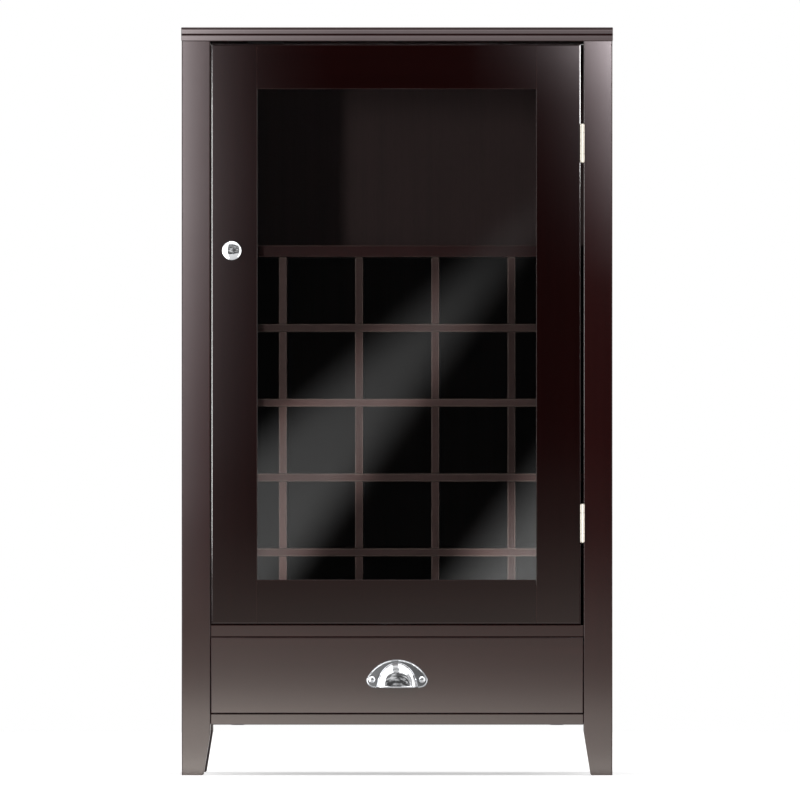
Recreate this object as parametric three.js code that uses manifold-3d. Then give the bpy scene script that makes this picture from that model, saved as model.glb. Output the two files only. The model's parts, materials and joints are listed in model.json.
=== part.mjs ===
// Wine cabinet: an espresso lacquered case on four legs, with a glazed door over a bottle rack of
// twenty-five cells and a drawer below. Millimetres, +Z up, front towards -Y, floor at Z 0.

import * as THREE from 'three';
import { mergeVertices } from 'three/addons/utils/BufferGeometryUtils.js';
import Module from 'manifold-3d';

const wasm = await Module();
wasm.setup();

// Case
const cabinetHeight = 952.5;
const cabinetDepth = 380;
const openingWidth = 475.4;
const legSide = 36.6;
const legEdgeRadius = 1.5;
const footTaperHeight = 54;
const footTaperDepth = 8.7;
const footChamfer = 1.2;
const sidePanelThickness = 15;
const sideTongueThickness = 8;
const sideTongueDepth = 10;
const backThickness = 4;
const backInset = 12;
const backTongueDepth = 8;
const bottomPanelHeight = 64.5;
const bottomPanelThickness = 13.7;
const drawerOpeningHeight = 98.1;
const deckThickness = 15;
const panelRecess = 1;
const boardEase = 0.8;

// Top board, its front edge moulded in two steps, each a flat fillet under a round
const topThickness = 17.6;
const topOverhang = 0.6;
const upperStepHeight = 8.1;
const stepRoundHeight = 4.6;
const stepRoundDepth = 2.4;

// Fits
const seat = 0.3;
const glueLine = 0.2;
const overrun = 5;

// Bottle rack and shelf
const shelfHeight = 660;
const shelfThickness = 15;
const rackThickness = 10;
const rackRows = 5;
const lowestCellExtra = 2.2;
const rackColumns = 5;
const rackSetback = 8;
const rackBackGap = 2;
const rackTongueDepth = 5;
const rackTongueShoulder = 4;

// Door
const doorThickness = 19;
const doorEdgeRadius = 2.5;
const doorLatchGap = 0.9;
const doorHingeGap = 3.5;
const doorTopGap = 4;
const doorBottomGap = 0.8;
const latchStileWidth = 58.9;
const hingeStileWidth = 57;
const railWidth = 57;
const sightChamfer = 0.5;
const rebateWidth = 8;
const rebateDepth = 10;
const tenonLength = 25;
const tenonThickness = 6;
const tenonShoulder = 6;
const glassThickness = 4;
const glassCover = 7;
const beadSetback = 0.5;
const beadRound = 2;

// Knob and its screw
const knobFromEdge = 26.5;
const knobDrop = 262.9;
const knobReach = 25;
const knobHeadRadius = 12.5;
const knobHeadDepth = 12;
const knobNeckRadius = 4.5;
const knobBaseRadius = 8;
const knobBaseDepth = 2.4;
const knobBoreDepth = 14;
const knobScrewRadius = 2;
const knobScrewHeadRadius = 4;
const knobScrewHeadDepth = 2.6;
const screwCrownShare = 0.7;
const boreGap = 0.3;

// Butt hinges
const hingeTopInset = 126;
const hingeBottomInset = 128.9;
const hingeHeight = 48;
const hingeBarrelRadius = 3.1;
const hingeStandOff = 2.4;
const hingeLeafThickness = 1.3;
const hingeLeafDepth = 15;
const hingeEndKnuckle = 10.7;
const hingePinRadius = 1.5;
const hingePinHeadRadius = 2.6;
const hingePinHeadDepth = 0.6;
const pinCrownShare = 0.6;
const hingeHoleRadius = 1.7;
const hingeSinkRadius = 3.1;
const hingeHolePitch = 17;
const hingeHoleInset = 5;
const hingeHoleStagger = 3.5;

// Magnetic catch and strike plate
const catchInset = 70;
const catchWidth = 46;
const catchHeight = 20;
const catchDepth = 15;
const magnetWidth = 34;
const magnetHeight = 6;
const magnetDepth = 9;
const magnetDrop = 13;
const strikeWidth = 40;
const strikeHeight = 12;
const strikeThickness = 1.2;

// Drawer
const drawerFrontThickness = 18;
const drawerFrontEdgeRadius = 1.2;
const drawerFrontGap = 0.8;
const drawerSideClearance = 1.8;
const drawerLift = 5;
const drawerSideThickness = 12;
const drawerSideHeight = 75;
const drawerBoxLength = 310;
const drawerBottomThickness = 4;
const drawerBottomRise = 8;
const drawerGrooveDepth = 5;
const runnerThickness = 8;
const runnerHeight = 14;
const runnerPlay = 0.5;

// Cup pull
const pullRise = 32.5;
const pullWidth = 78.8;
const pullHeight = 35.8;
const pullShoulder = 10.2;
const pullFootWidth = 58;
const pullPlateThickness = 1.6;
const pullRimWidth = 1.3;
const pullRimHeight = 1;
const pullCupWidth = 54;
const pullCupHeight = 32.2;
const pullCupReach = 22;
const pullWall = 1.6;
const pullLipHeight = 2.4;
const pullLipReach = 0.9;
const pullScrewSpacing = 64;
const pullScrewRise = 10.5;
const pullScrewRadius = 1.75;
const pullScrewHeadRadius = 4.25;
const pullScrewHeadDepth = 2.6;
const pullScrewLength = 13;
const screwTipShare = 0.4;

// Places that follow from the sizes above. Y 0 is the front plane of the legs
const innerHalf = openingWidth / 2;
const outerHalf = innerHalf + legSide;
const topUnderside = cabinetHeight - topThickness;
const caseTop = topUnderside - seat;
const bottomPanelTop = bottomPanelHeight + bottomPanelThickness;
const deckUnderside = bottomPanelTop + drawerOpeningHeight;
const deckTop = deckUnderside + deckThickness;
const backFront = cabinetDepth - backInset - backThickness;
const rearLegFront = cabinetDepth - legSide;
const frontPlane = (knobReach + seat - cabinetDepth) / 2;

// Facets
const roundSteps = 6;
const stepSteps = 6;
const boreSteps = 20;
const turnSteps = 40;
const cupSteps = 48;

const espresso = { color: 0x2b1a18, roughness: 0.32, metalness: 0 };
const espressoBoard = { color: 0x2f1f1c, roughness: 0.45, metalness: 0 };
const hardboard = { color: 0x2a1d19, roughness: 0.7, metalness: 0 };
const chrome = { color: 0xd8dadc, roughness: 0.08, metalness: 1 };
const satinNickel = { color: 0xd9cfbd, roughness: 0.35, metalness: 1 };
const steel = { color: 0x9a9c9e, roughness: 0.4, metalness: 1 };
const darkPlastic = { color: 0x1c1a19, roughness: 0.5, metalness: 0 };
const magnetStone = { color: 0x3a3a3c, roughness: 0.6, metalness: 0.2 };
const clearGlass = { color: 0xdfe6e4, roughness: 0.02, metalness: 0, transparent: true, opacity: 0.2 };

// Solids

function toSolid(geometry) {
  const bare = geometry.clone();
  bare.deleteAttribute('normal');
  bare.deleteAttribute('uv');
  const merged = mergeVertices(bare);
  const mesh = new wasm.Mesh({
    numProp: 3,
    vertProperties: new Float32Array(merged.attributes.position.array),
    triVerts: new Uint32Array(merged.index.array),
  });
  return new wasm.Manifold(mesh);
}

function toGeometry(solid) {
  const mesh = solid.getMesh();
  const geometry = new THREE.BufferGeometry();
  geometry.setAttribute('position', new THREE.BufferAttribute(mesh.vertProperties, 3));
  geometry.setIndex(new THREE.BufferAttribute(mesh.triVerts, 1));
  geometry.computeVertexNormals();
  return geometry;
}

function subtractAll(solid, cutters) {
  return cutters.reduce((left, cutter) => left.subtract(cutter), solid);
}

function addAll(solid, pieces) {
  return pieces.reduce((whole, piece) => whole.add(piece), solid);
}

function middle(range) {
  return (range[0] + range[1]) / 2;
}

function extent(range) {
  return Math.abs(range[1] - range[0]);
}

function block(x, y, z) {
  const box = new THREE.BoxGeometry(extent(x), extent(y), extent(z));
  box.translate(middle(x), middle(y), middle(z));
  return toSolid(box);
}

// An outline pushed out along one axis. Its own pair of axes is YZ for X, ZX for Y and XY for Z
function extrude(shape, axis, range) {
  const geometry = new THREE.ExtrudeGeometry(shape, {
    depth: extent(range),
    bevelEnabled: false,
    curveSegments: roundSteps,
  });
  geometry.translate(0, 0, Math.min(range[0], range[1]));
  const turn = new THREE.Matrix4();
  if (axis === 'x') turn.set(0, 0, 1, 0, 1, 0, 0, 0, 0, 1, 0, 0, 0, 0, 0, 1);
  if (axis === 'y') turn.set(0, 1, 0, 0, 0, 0, 1, 0, 1, 0, 0, 0, 0, 0, 0, 1);
  geometry.applyMatrix4(turn);
  return toSolid(geometry);
}

function polygon(points) {
  return new THREE.Shape(points.map(([u, v]) => new THREE.Vector2(u, v)));
}

function swapped(shape) {
  return polygon(shape.getPoints(roundSteps).map((point) => [point.y, point.x]));
}

function roundedRectangle(u, v, radius) {
  const [left, right] = [Math.min(...u), Math.max(...u)];
  const [low, high] = [Math.min(...v), Math.max(...v)];
  const shape = new THREE.Shape();
  shape.moveTo(left + radius, low);
  shape.lineTo(right - radius, low);
  shape.absarc(right - radius, low + radius, radius, -Math.PI / 2, 0);
  shape.lineTo(right, high - radius);
  shape.absarc(right - radius, high - radius, radius, 0, Math.PI / 2);
  shape.lineTo(left + radius, high);
  shape.absarc(left + radius, high - radius, radius, Math.PI / 2, Math.PI);
  shape.lineTo(left, low + radius);
  shape.absarc(left + radius, low + radius, radius, Math.PI, Math.PI * 1.5);
  return shape;
}

// A board with small flats along all its edges, as the sanded edge of a lacquered board has
function easedBoard(x, y, z, ease = boardEase) {
  const eased = (u, v) => {
    const [left, right] = [Math.min(...u), Math.max(...u)];
    const [low, high] = [Math.min(...v), Math.max(...v)];
    return polygon([
      [left + ease, low],
      [right - ease, low],
      [right, low + ease],
      [right, high - ease],
      [right - ease, high],
      [left + ease, high],
      [left, high - ease],
      [left, low + ease],
    ]);
  };
  const alongX = extrude(eased(y, z), 'x', x);
  const alongY = extrude(eased(z, x), 'y', y);
  const alongZ = extrude(eased(x, y), 'z', z);
  return alongX.intersect(alongY).intersect(alongZ);
}

// A panel whose front edges are rounded on all four sides
function roundedFrontPanel(x, y, z, radius) {
  const [front, back] = [Math.min(...y), Math.max(...y)];
  const section = (along) => {
    const shape = new THREE.Shape();
    shape.moveTo(along[0], back);
    shape.lineTo(along[0], front + radius);
    shape.absarc(along[0] + radius, front + radius, radius, Math.PI, Math.PI * 1.5);
    shape.lineTo(along[1] - radius, front);
    shape.absarc(along[1] - radius, front + radius, radius, -Math.PI / 2, 0);
    shape.lineTo(along[1], back);
    return shape;
  };
  return extrude(section(x), 'z', z).intersect(extrude(swapped(section(z)), 'x', x));
}

// A solid turned on an axis that runs along X, Y or Z through the given centre
function turned(profile, axis, centre, steps = turnSteps) {
  const points = profile.map(([radius, along]) => new THREE.Vector2(radius, along));
  const geometry = new THREE.LatheGeometry(points, steps);
  if (axis === 'x') geometry.rotateZ(-Math.PI / 2);
  if (axis === 'z') geometry.rotateX(Math.PI / 2);
  geometry.translate(centre[0], centre[1], centre[2]);
  return toSolid(geometry);
}

function rod(radius, axis, centre, range, steps = boreSteps) {
  const low = Math.min(range[0], range[1]);
  const high = Math.max(range[0], range[1]);
  return turned([[0, low], [radius, low], [radius, high], [0, high]], axis, centre, steps);
}

const cabinet = new THREE.Group();
cabinet.name = 'wine_cabinet';
cabinet.position.y = frontPlane;

const door = new THREE.Group();
door.name = 'door';
const drawer = new THREE.Group();
drawer.name = 'drawer';
cabinet.add(door, drawer);

function addPiece(group, name, solid, finish, place = [0, 0, 0]) {
  const mesh = new THREE.Mesh(toGeometry(solid), new THREE.MeshStandardMaterial(finish));
  mesh.name = name;
  mesh.position.set(...place);
  group.add(mesh);
}

const sides = [
  { name: 'left', sign: -1 },
  { name: 'right', sign: 1 },
];

// Legs, grooved for the side panels and, at the rear, for the back

const sideTongueInner = innerHalf + (sidePanelThickness - sideTongueThickness) / 2;
const sideTongueOuter = sideTongueInner + sideTongueThickness;

function leg(sign, atRear) {
  const x = [sign * innerHalf, sign * outerHalf];
  const y = atRear ? [rearLegFront, cabinetDepth] : [0, legSide];
  const z = [0, caseTop];
  const post = extrude(roundedRectangle(x, y, legEdgeRadius), 'z', z);

  const innerX = sign * innerHalf;
  const innerY = atRear ? rearLegFront : legSide;
  const awayY = atRear ? 1 : -1;
  const taperX = extrude(polygon([
    [footTaperHeight, innerX],
    [-overrun, innerX + sign * footTaperDepth * (1 + overrun / footTaperHeight)],
    [-overrun, innerX - sign * overrun],
    [footTaperHeight, innerX - sign * overrun],
  ]), 'y', [y[0] - overrun, y[1] + overrun]);
  const taperY = extrude(polygon([
    [innerY, footTaperHeight],
    [innerY + awayY * footTaperDepth * (1 + overrun / footTaperHeight), -overrun],
    [innerY - awayY * overrun, -overrun],
    [innerY - awayY * overrun, footTaperHeight],
  ]), 'x', [innerX - sign * overrun, sign * (outerHalf + overrun)]);
  const footX = innerX + sign * footTaperDepth;
  const footBevel = extrude(polygon([
    [0, footX + sign * footChamfer],
    [footChamfer, footX],
    [footChamfer, footX - sign * overrun],
    [-overrun, footX - sign * overrun],
    [-overrun, footX + sign * (footChamfer + overrun)],
  ]), 'y', [y[0] - overrun, y[1] + overrun]);

  const grooveFloor = innerY + awayY * (sideTongueDepth + seat);
  const panelGroove = block(
    [sign * (sideTongueInner - seat), sign * (sideTongueOuter + seat)],
    [innerY - awayY * overrun, grooveFloor],
    [bottomPanelHeight - seat, caseTop + overrun],
  );
  const cuts = [taperX, taperY, footBevel, panelGroove];
  if (atRear) {
    cuts.push(block(
      [innerX - sign * overrun, sign * (innerHalf + backTongueDepth + seat)],
      [backFront - seat, backFront + backThickness + seat],
      [bottomPanelHeight - seat, caseTop + overrun],
    ));
  }
  return subtractAll(post, cuts);
}

for (const { name, sign } of sides) {
  addPiece(cabinet, `leg_front_${name}`, leg(sign, false), espresso);
  addPiece(cabinet, `leg_rear_${name}`, leg(sign, true), espresso);
}

// Side panels, tongued into the legs and housed for the shelf and the rack

const rackPitch = (shelfHeight - deckTop + rackThickness - lowestCellExtra) / rackRows;
const columnPitch = (openingWidth + rackThickness) / rackColumns;
const rackShelfHeights = [];
for (let row = rackRows - 1; row > 0; row -= 1) {
  rackShelfHeights.push(shelfHeight - row * rackPitch);
}
const dividerPlaces = [];
for (let column = 1; column < rackColumns; column += 1) {
  dividerPlaces.push(column * columnPitch - rackThickness / 2 - innerHalf);
}
const rackFront = doorThickness + rackSetback;
const rackBack = backFront - rackBackGap;
const rackMiddle = (rackFront + rackBack) / 2;
const tongueRange = [legSide + rackTongueShoulder, rearLegFront - rackTongueShoulder];

function sidePanel(sign) {
  const z = [bottomPanelHeight, caseTop];
  const board = block(
    [sign * innerHalf, sign * (innerHalf + sidePanelThickness)],
    [legSide + seat, rearLegFront - seat],
    z,
  );
  const tongue = block(
    [sign * sideTongueInner, sign * sideTongueOuter],
    [legSide - sideTongueDepth, rearLegFront + sideTongueDepth],
    z,
  );
  const housing = (low, thickness) => block(
    [sign * (innerHalf - overrun), sign * (innerHalf + rackTongueDepth + seat)],
    [tongueRange[0] - seat, tongueRange[1] + seat],
    [low - seat, low + thickness + seat],
  );
  const housings = rackShelfHeights.map((low) => housing(low, rackThickness));
  housings.push(housing(shelfHeight, shelfThickness));
  return subtractAll(board.add(tongue), housings);
}

for (const { name, sign } of sides) {
  addPiece(cabinet, `side_panel_${name}`, sidePanel(sign), espresso);
}

// Back, bottom panel and deck

addPiece(cabinet, 'back_panel', block(
  [-innerHalf - backTongueDepth, innerHalf + backTongueDepth],
  [backFront, backFront + backThickness],
  [bottomPanelHeight, caseTop],
), hardboard);

const betweenSides = [seat - innerHalf, innerHalf - seat];
const panelDepth = [panelRecess, backFront - seat];
const bottomPanelZ = [bottomPanelHeight, bottomPanelTop];
const deckZ = [deckUnderside, deckTop];
addPiece(cabinet, 'bottom_panel', easedBoard(betweenSides, panelDepth, bottomPanelZ), espresso);
addPiece(cabinet, 'deck_panel', easedBoard(betweenSides, panelDepth, deckZ), espresso);

// Top board

function mouldedEdge() {
  const points = [];
  const addStep = (low, high) => {
    points.push([0, low]);
    for (let i = 0; i <= stepSteps; i += 1) {
      const turn = (Math.PI * i) / (2 * stepSteps);
      points.push([
        stepRoundDepth * (1 - Math.cos(turn)),
        high - stepRoundHeight * (1 - Math.sin(turn)),
      ]);
    }
  };
  addStep(0, topThickness - upperStepHeight);
  addStep(topThickness - upperStepHeight, topThickness);
  return points;
}

function topBoard() {
  const halfWidth = outerHalf + topOverhang;
  const x = [-halfWidth, halfWidth];
  const front = mouldedEdge().map(([inset, rise]) => [inset - topOverhang, topUnderside + rise]);
  const back = [[cabinetDepth, cabinetHeight], [cabinetDepth, topUnderside]];
  const moulded = extrude(polygon([...front, ...back]), 'x', x);
  return moulded.intersect(easedBoard(x, [-topOverhang, cabinetDepth], [topUnderside, cabinetHeight]));
}

addPiece(cabinet, 'top_panel', topBoard(), espresso);

// Upper shelf and bottle rack. The boards of the rack halve over each other at every crossing

function housedBoard(thickness, low) {
  const high = low + thickness;
  const board = easedBoard(betweenSides, [rackFront, rackBack], [low, high]);
  const tongueHalf = innerHalf + rackTongueDepth;
  return board.add(block([-tongueHalf, tongueHalf], tongueRange, [low, high]));
}

function rackShelf() {
  const slots = dividerPlaces.map((x) => block(
    [x - rackThickness / 2 - seat, x + rackThickness / 2 + seat],
    [rackMiddle, rackBack + overrun],
    [-overrun, rackThickness + overrun],
  ));
  return subtractAll(housedBoard(rackThickness, 0), slots);
}

function rackDivider() {
  const board = easedBoard(
    [-rackThickness / 2, rackThickness / 2],
    [rackFront, rackBack],
    [deckTop + seat, shelfHeight - seat],
  );
  const slots = rackShelfHeights.map((low) => block(
    [-rackThickness / 2 - overrun, rackThickness / 2 + overrun],
    [rackFront - overrun, rackMiddle + seat],
    [low - seat, low + rackThickness + seat],
  ));
  return subtractAll(board, slots);
}

addPiece(cabinet, 'upper_shelf', housedBoard(shelfThickness, shelfHeight), espressoBoard);
rackShelfHeights.forEach((low, i) => {
  addPiece(cabinet, `rack_shelf_${i + 1}`, rackShelf(), espressoBoard, [0, 0, low]);
});
dividerPlaces.forEach((x, i) => {
  addPiece(cabinet, `rack_divider_${i + 1}`, rackDivider(), espressoBoard, [x, 0, 0]);
});

// Door frame: two stiles and two rails with stub tenons, rebated behind for the glass

const doorX = [doorLatchGap - innerHalf, innerHalf - doorHingeGap];
const doorZ = [deckTop + doorBottomGap, topUnderside - doorTopGap];
const sightX = [doorX[0] + latchStileWidth, doorX[1] - hingeStileWidth];
const sightZ = [doorZ[0] + railWidth, doorZ[1] - railWidth];
const rebateFloor = doorThickness - rebateDepth;

function widened(range, margin) {
  return [range[0] - margin, range[1] + margin];
}

function frameBlank() {
  const slab = roundedFrontPanel(doorX, [0, doorThickness], doorZ, doorEdgeRadius);
  const sight = block(sightX, [-overrun, doorThickness + overrun], sightZ);
  const rebate = block(
    widened(sightX, rebateWidth),
    [rebateFloor, doorThickness + overrun],
    widened(sightZ, rebateWidth),
  );
  const flare = (range) => {
    const wide = widened(range, sightChamfer + overrun);
    return [
      [wide[0], -overrun],
      [range[0], sightChamfer],
      [range[1], sightChamfer],
      [wide[1], -overrun],
    ];
  };
  const flareX = extrude(polygon(flare(sightX)), 'z', widened(sightZ, overrun + sightChamfer));
  const flareZ = extrude(swapped(polygon(flare(sightZ))), 'x', widened(sightX, overrun + sightChamfer));
  return subtractAll(slab, [sight, rebate, flareX.intersect(flareZ)]);
}

const doorBlank = frameBlank();
const tenonY = [(doorThickness - tenonThickness) / 2, (doorThickness + tenonThickness) / 2];
const tenonRise = railWidth - rebateWidth - tenonShoulder;

function railTenonRange(atTop) {
  return atTop
    ? [doorZ[1] - tenonRise, doorZ[1] - tenonShoulder]
    : [doorZ[0] + tenonShoulder, doorZ[0] + tenonRise];
}

function doorRail(atTop) {
  const z = atTop ? [sightZ[1], doorZ[1] + overrun] : [doorZ[0] - overrun, sightZ[0]];
  const x = [sightX[0] + glueLine, sightX[1] - glueLine];
  const depth = [-overrun, doorThickness + overrun];
  const rail = doorBlank.intersect(block(x, depth, z));
  const tenonX = widened(sightX, tenonLength);
  return rail.add(block(tenonX, tenonY, railTenonRange(atTop)));
}

function doorStile(sign) {
  const x = sign > 0 ? [sightX[1], doorX[1] + overrun] : [doorX[0] - overrun, sightX[0]];
  const stile = doorBlank.intersect(block(x, [-overrun, doorThickness + overrun], widened(doorZ, overrun)));
  const mortiseX = widened(sightX, tenonLength + seat);
  const mortises = [true, false].map((atTop) => block(
    mortiseX,
    widened(tenonY, seat),
    widened(railTenonRange(atTop), seat),
  ));
  return subtractAll(stile, mortises);
}

const knobX = doorX[0] + knobFromEdge;
const knobZ = doorZ[1] - knobDrop;
const knobHole = rod(
  knobScrewRadius + boreGap,
  'y',
  [knobX, 0, knobZ],
  [-overrun, doorThickness + overrun],
);
addPiece(door, 'door_stile_left', doorStile(-1).subtract(knobHole), espresso);
addPiece(door, 'door_stile_right', doorStile(1), espresso);
addPiece(door, 'door_rail_top', doorRail(true), espresso);
addPiece(door, 'door_rail_bottom', doorRail(false), espresso);

// Glass and the four mitred beads that hold it

const glassFront = rebateFloor + seat;
addPiece(door, 'door_glass', block(
  widened(sightX, glassCover),
  [glassFront, glassFront + glassThickness],
  widened(sightZ, glassCover),
), clearGlass);

const beadFront = glassFront + glassThickness + seat;
const beadBack = doorThickness - beadSetback;
const beadOuterX = widened(sightX, rebateWidth - seat);
const beadOuterZ = widened(sightZ, rebateWidth - seat);

// A bead runs along X or Z: near is its edge at the sight line, far its edge in the rebate
function glazingBead(along, near, far, alongX) {
  const inward = Math.sign(near - far);
  const section = polygon([
    [beadFront, far],
    [beadBack, far],
    [beadBack, near - inward * beadRound],
    [beadBack - beadRound, near],
    [beadFront, near],
  ]);
  const mitre = polygon([
    [along.far[0] + seat, far],
    [along.near[0] + seat, near],
    [along.near[1] - seat, near],
    [along.far[1] - seat, far],
  ]);
  const depth = [beadFront - overrun, beadBack + overrun];
  if (alongX) return extrude(section, 'x', along.far).intersect(extrude(swapped(mitre), 'y', depth));
  return extrude(swapped(section), 'z', along.far).intersect(extrude(mitre, 'y', depth));
}

const spanX = { near: sightX, far: beadOuterX };
const spanZ = { near: sightZ, far: beadOuterZ };
const beads = {
  top: glazingBead(spanX, sightZ[1], beadOuterZ[1], true),
  bottom: glazingBead(spanX, sightZ[0], beadOuterZ[0], true),
  left: glazingBead(spanZ, sightX[0], beadOuterX[0], false),
  right: glazingBead(spanZ, sightX[1], beadOuterX[1], false),
};
for (const [name, bead] of Object.entries(beads)) {
  addPiece(door, `glazing_bead_${name}`, bead, espresso);
}

// Knob, turned in one piece, with the screw that holds it from behind

function knob() {
  const headBack = knobHeadDepth - knobReach;
  const profile = [
    [0, -knobBoreDepth],
    [knobScrewRadius + boreGap, -knobBoreDepth],
    [knobScrewRadius + boreGap, 0],
    [knobBaseRadius, 0],
    [knobBaseRadius, -knobBaseDepth],
    [knobNeckRadius, -knobBaseDepth - (knobBaseRadius - knobNeckRadius) / 2],
    [knobNeckRadius, headBack],
  ];
  const edgeRadius = knobHeadDepth / 2;
  for (let i = 0; i <= roundSteps; i += 1) {
    const turn = (Math.PI / 2) * (i / roundSteps);
    profile.push([
      knobHeadRadius - edgeRadius + edgeRadius * Math.sin(turn),
      headBack - edgeRadius / 2 + (edgeRadius / 2) * Math.cos(turn),
    ]);
  }
  const crownBack = headBack - edgeRadius / 2;
  for (let i = 1; i <= roundSteps * 2; i += 1) {
    const turn = (Math.PI / 2) * (i / (roundSteps * 2));
    profile.push([
      knobHeadRadius * Math.cos(turn),
      crownBack + (-knobReach - crownBack) * Math.sin(turn),
    ]);
  }
  profile[profile.length - 1][0] = 0;
  return turned(profile.reverse(), 'y', [knobX, -seat, knobZ]);
}

function knobScrew() {
  const headFace = doorThickness + seat + knobScrewHeadDepth;
  return turned([
    [0, seat - knobBoreDepth],
    [knobScrewRadius, seat - knobBoreDepth],
    [knobScrewRadius, doorThickness + seat],
    [knobScrewHeadRadius, doorThickness + seat],
    [knobScrewHeadRadius, headFace - knobScrewHeadDepth / 2],
    [knobScrewHeadRadius * screwCrownShare, headFace],
    [0, headFace],
  ], 'y', [knobX, 0, knobZ]);
}

addPiece(door, 'door_knob', knob(), chrome);
addPiece(door, 'knob_screw', knobScrew(), steel);

// Butt hinges. The frame leaf carries the end knuckles and the door leaf the middle one

const hingeX = innerHalf - doorHingeGap / 2;
const leafGap = (doorHingeGap - 2 * hingeLeafThickness) / 3;
const barrelRange = [-hingeHeight / 2, hingeHeight / 2];
const middleKnuckle = [hingeEndKnuckle - hingeHeight / 2, hingeHeight / 2 - hingeEndKnuckle];
const endKnuckles = [
  [barrelRange[0], middleKnuckle[0] - seat],
  [middleKnuckle[1] + seat, barrelRange[1]],
];

function hingeLeaf(sign, knuckles, gaps) {
  const inner = (sign * leafGap) / 2;
  const outer = inner + sign * hingeLeafThickness;
  const onAxis = [0, 0, 0];
  const plate = block([inner, outer], [0, hingeStandOff + hingeLeafDepth], barrelRange);
  const barrels = knuckles.map((range) => rod(hingeBarrelRadius, 'z', onAxis, range, turnSteps));
  const reliefs = gaps.map((range) => rod(hingeBarrelRadius + seat, 'z', onAxis, range, turnSteps));
  const bore = rod(hingePinRadius + boreGap, 'z', onAxis, widened(barrelRange, overrun), turnSteps);
  const holes = [-1, 0, 1].map((place) => {
    const y = hingeStandOff + hingeLeafDepth - hingeHoleInset - (place === 0 ? hingeHoleStagger : 0);
    const sink = [
      [0, outer + sign * seat],
      [hingeHoleRadius, outer + sign * seat],
      [hingeHoleRadius, outer],
      [hingeSinkRadius, inner],
      [hingeSinkRadius, inner - sign * seat],
      [0, inner - sign * seat],
    ];
    if (sign > 0) sink.reverse();
    return turned(sink, 'x', [0, y, place * hingeHolePitch], boreSteps);
  });
  return subtractAll(addAll(plate, barrels), [...reliefs, bore, ...holes]);
}

function hingePin() {
  const half = hingeHeight / 2 + seat;
  const domed = half + hingePinHeadDepth;
  return turned([
    [0, -domed],
    [hingePinHeadRadius * pinCrownShare, -domed],
    [hingePinHeadRadius, -half - hingePinHeadDepth / 2],
    [hingePinHeadRadius, -half],
    [hingePinRadius, -half],
    [hingePinRadius, half],
    [hingePinHeadRadius, half],
    [hingePinHeadRadius, half + hingePinHeadDepth / 2],
    [hingePinHeadRadius * pinCrownShare, domed],
    [0, domed],
  ], 'z', [0, 0, 0], turnSteps);
}

const hingePlaces = [
  { name: 'lower', z: doorZ[0] + hingeBottomInset },
  { name: 'upper', z: doorZ[1] - hingeTopInset },
];

for (const { name, z } of hingePlaces) {
  const place = [hingeX, -hingeStandOff, z];
  const middleRelief = [endKnuckles[0][1], endKnuckles[1][0]];
  const endReliefs = [
    [barrelRange[0] - overrun, middleKnuckle[0]],
    [middleKnuckle[1], barrelRange[1] + overrun],
  ];
  const frameLeaf = hingeLeaf(1, endKnuckles, [middleRelief]);
  const doorLeaf = hingeLeaf(-1, [middleKnuckle], endReliefs);
  addPiece(cabinet, `hinge_${name}_frame_leaf`, frameLeaf, satinNickel, place);
  addPiece(door, `hinge_${name}_door_leaf`, doorLeaf, satinNickel, place);
  addPiece(cabinet, `hinge_${name}_pin`, hingePin(), satinNickel, place);
}

// Magnetic catch under the top, and the strike plate on the back of the door

const catchX = catchInset - innerHalf;
const magnetZ = topUnderside - magnetDrop;
const strikeBack = doorThickness + seat + strikeThickness;
const catchFront = strikeBack + seat;
const magnetX = [catchX - magnetWidth / 2, catchX + magnetWidth / 2];
const magnetY = [catchFront, catchFront + magnetDepth];
const magnetZRange = [magnetZ - magnetHeight / 2, magnetZ + magnetHeight / 2];

const catchShell = easedBoard(
  [catchX - catchWidth / 2, catchX + catchWidth / 2],
  [catchFront, catchFront + catchDepth],
  [caseTop - catchHeight, caseTop],
);
const magnetPocket = block(
  widened(magnetX, seat),
  [magnetY[0] - overrun, magnetY[1] + seat],
  widened(magnetZRange, seat),
);
addPiece(cabinet, 'catch_body', catchShell.subtract(magnetPocket), darkPlastic);
addPiece(cabinet, 'catch_magnet', block(magnetX, magnetY, magnetZRange), magnetStone);
addPiece(door, 'strike_plate', block(
  [catchX - strikeWidth / 2, catchX + strikeWidth / 2],
  [doorThickness + seat, strikeBack],
  [magnetZ - strikeHeight / 2, magnetZ + strikeHeight / 2],
), steel);

// Drawer box, side hung on two wooden runners

const drawerFrontX = widened([-innerHalf, innerHalf], -drawerFrontGap);
const drawerFrontZ = [bottomPanelTop + drawerFrontGap, deckUnderside - drawerFrontGap];
const drawerOuter = innerHalf - drawerSideClearance;
const drawerInner = drawerOuter - drawerSideThickness;
const boxFront = drawerFrontThickness + seat;
const boxBack = boxFront + drawerBoxLength;
const boxLow = bottomPanelTop + drawerLift;
const boxHigh = boxLow + drawerSideHeight;
const drawerBottomLow = boxLow + drawerBottomRise;
const drawerBottomHigh = drawerBottomLow + drawerBottomThickness;
const drawerBottomHalf = drawerInner + drawerGrooveDepth;
const runnerMiddle = (boxLow + boxHigh) / 2;
const runnerZ = [runnerMiddle - runnerHeight / 2, runnerMiddle + runnerHeight / 2];
const runnerFace = innerHalf - seat - runnerThickness;

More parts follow.
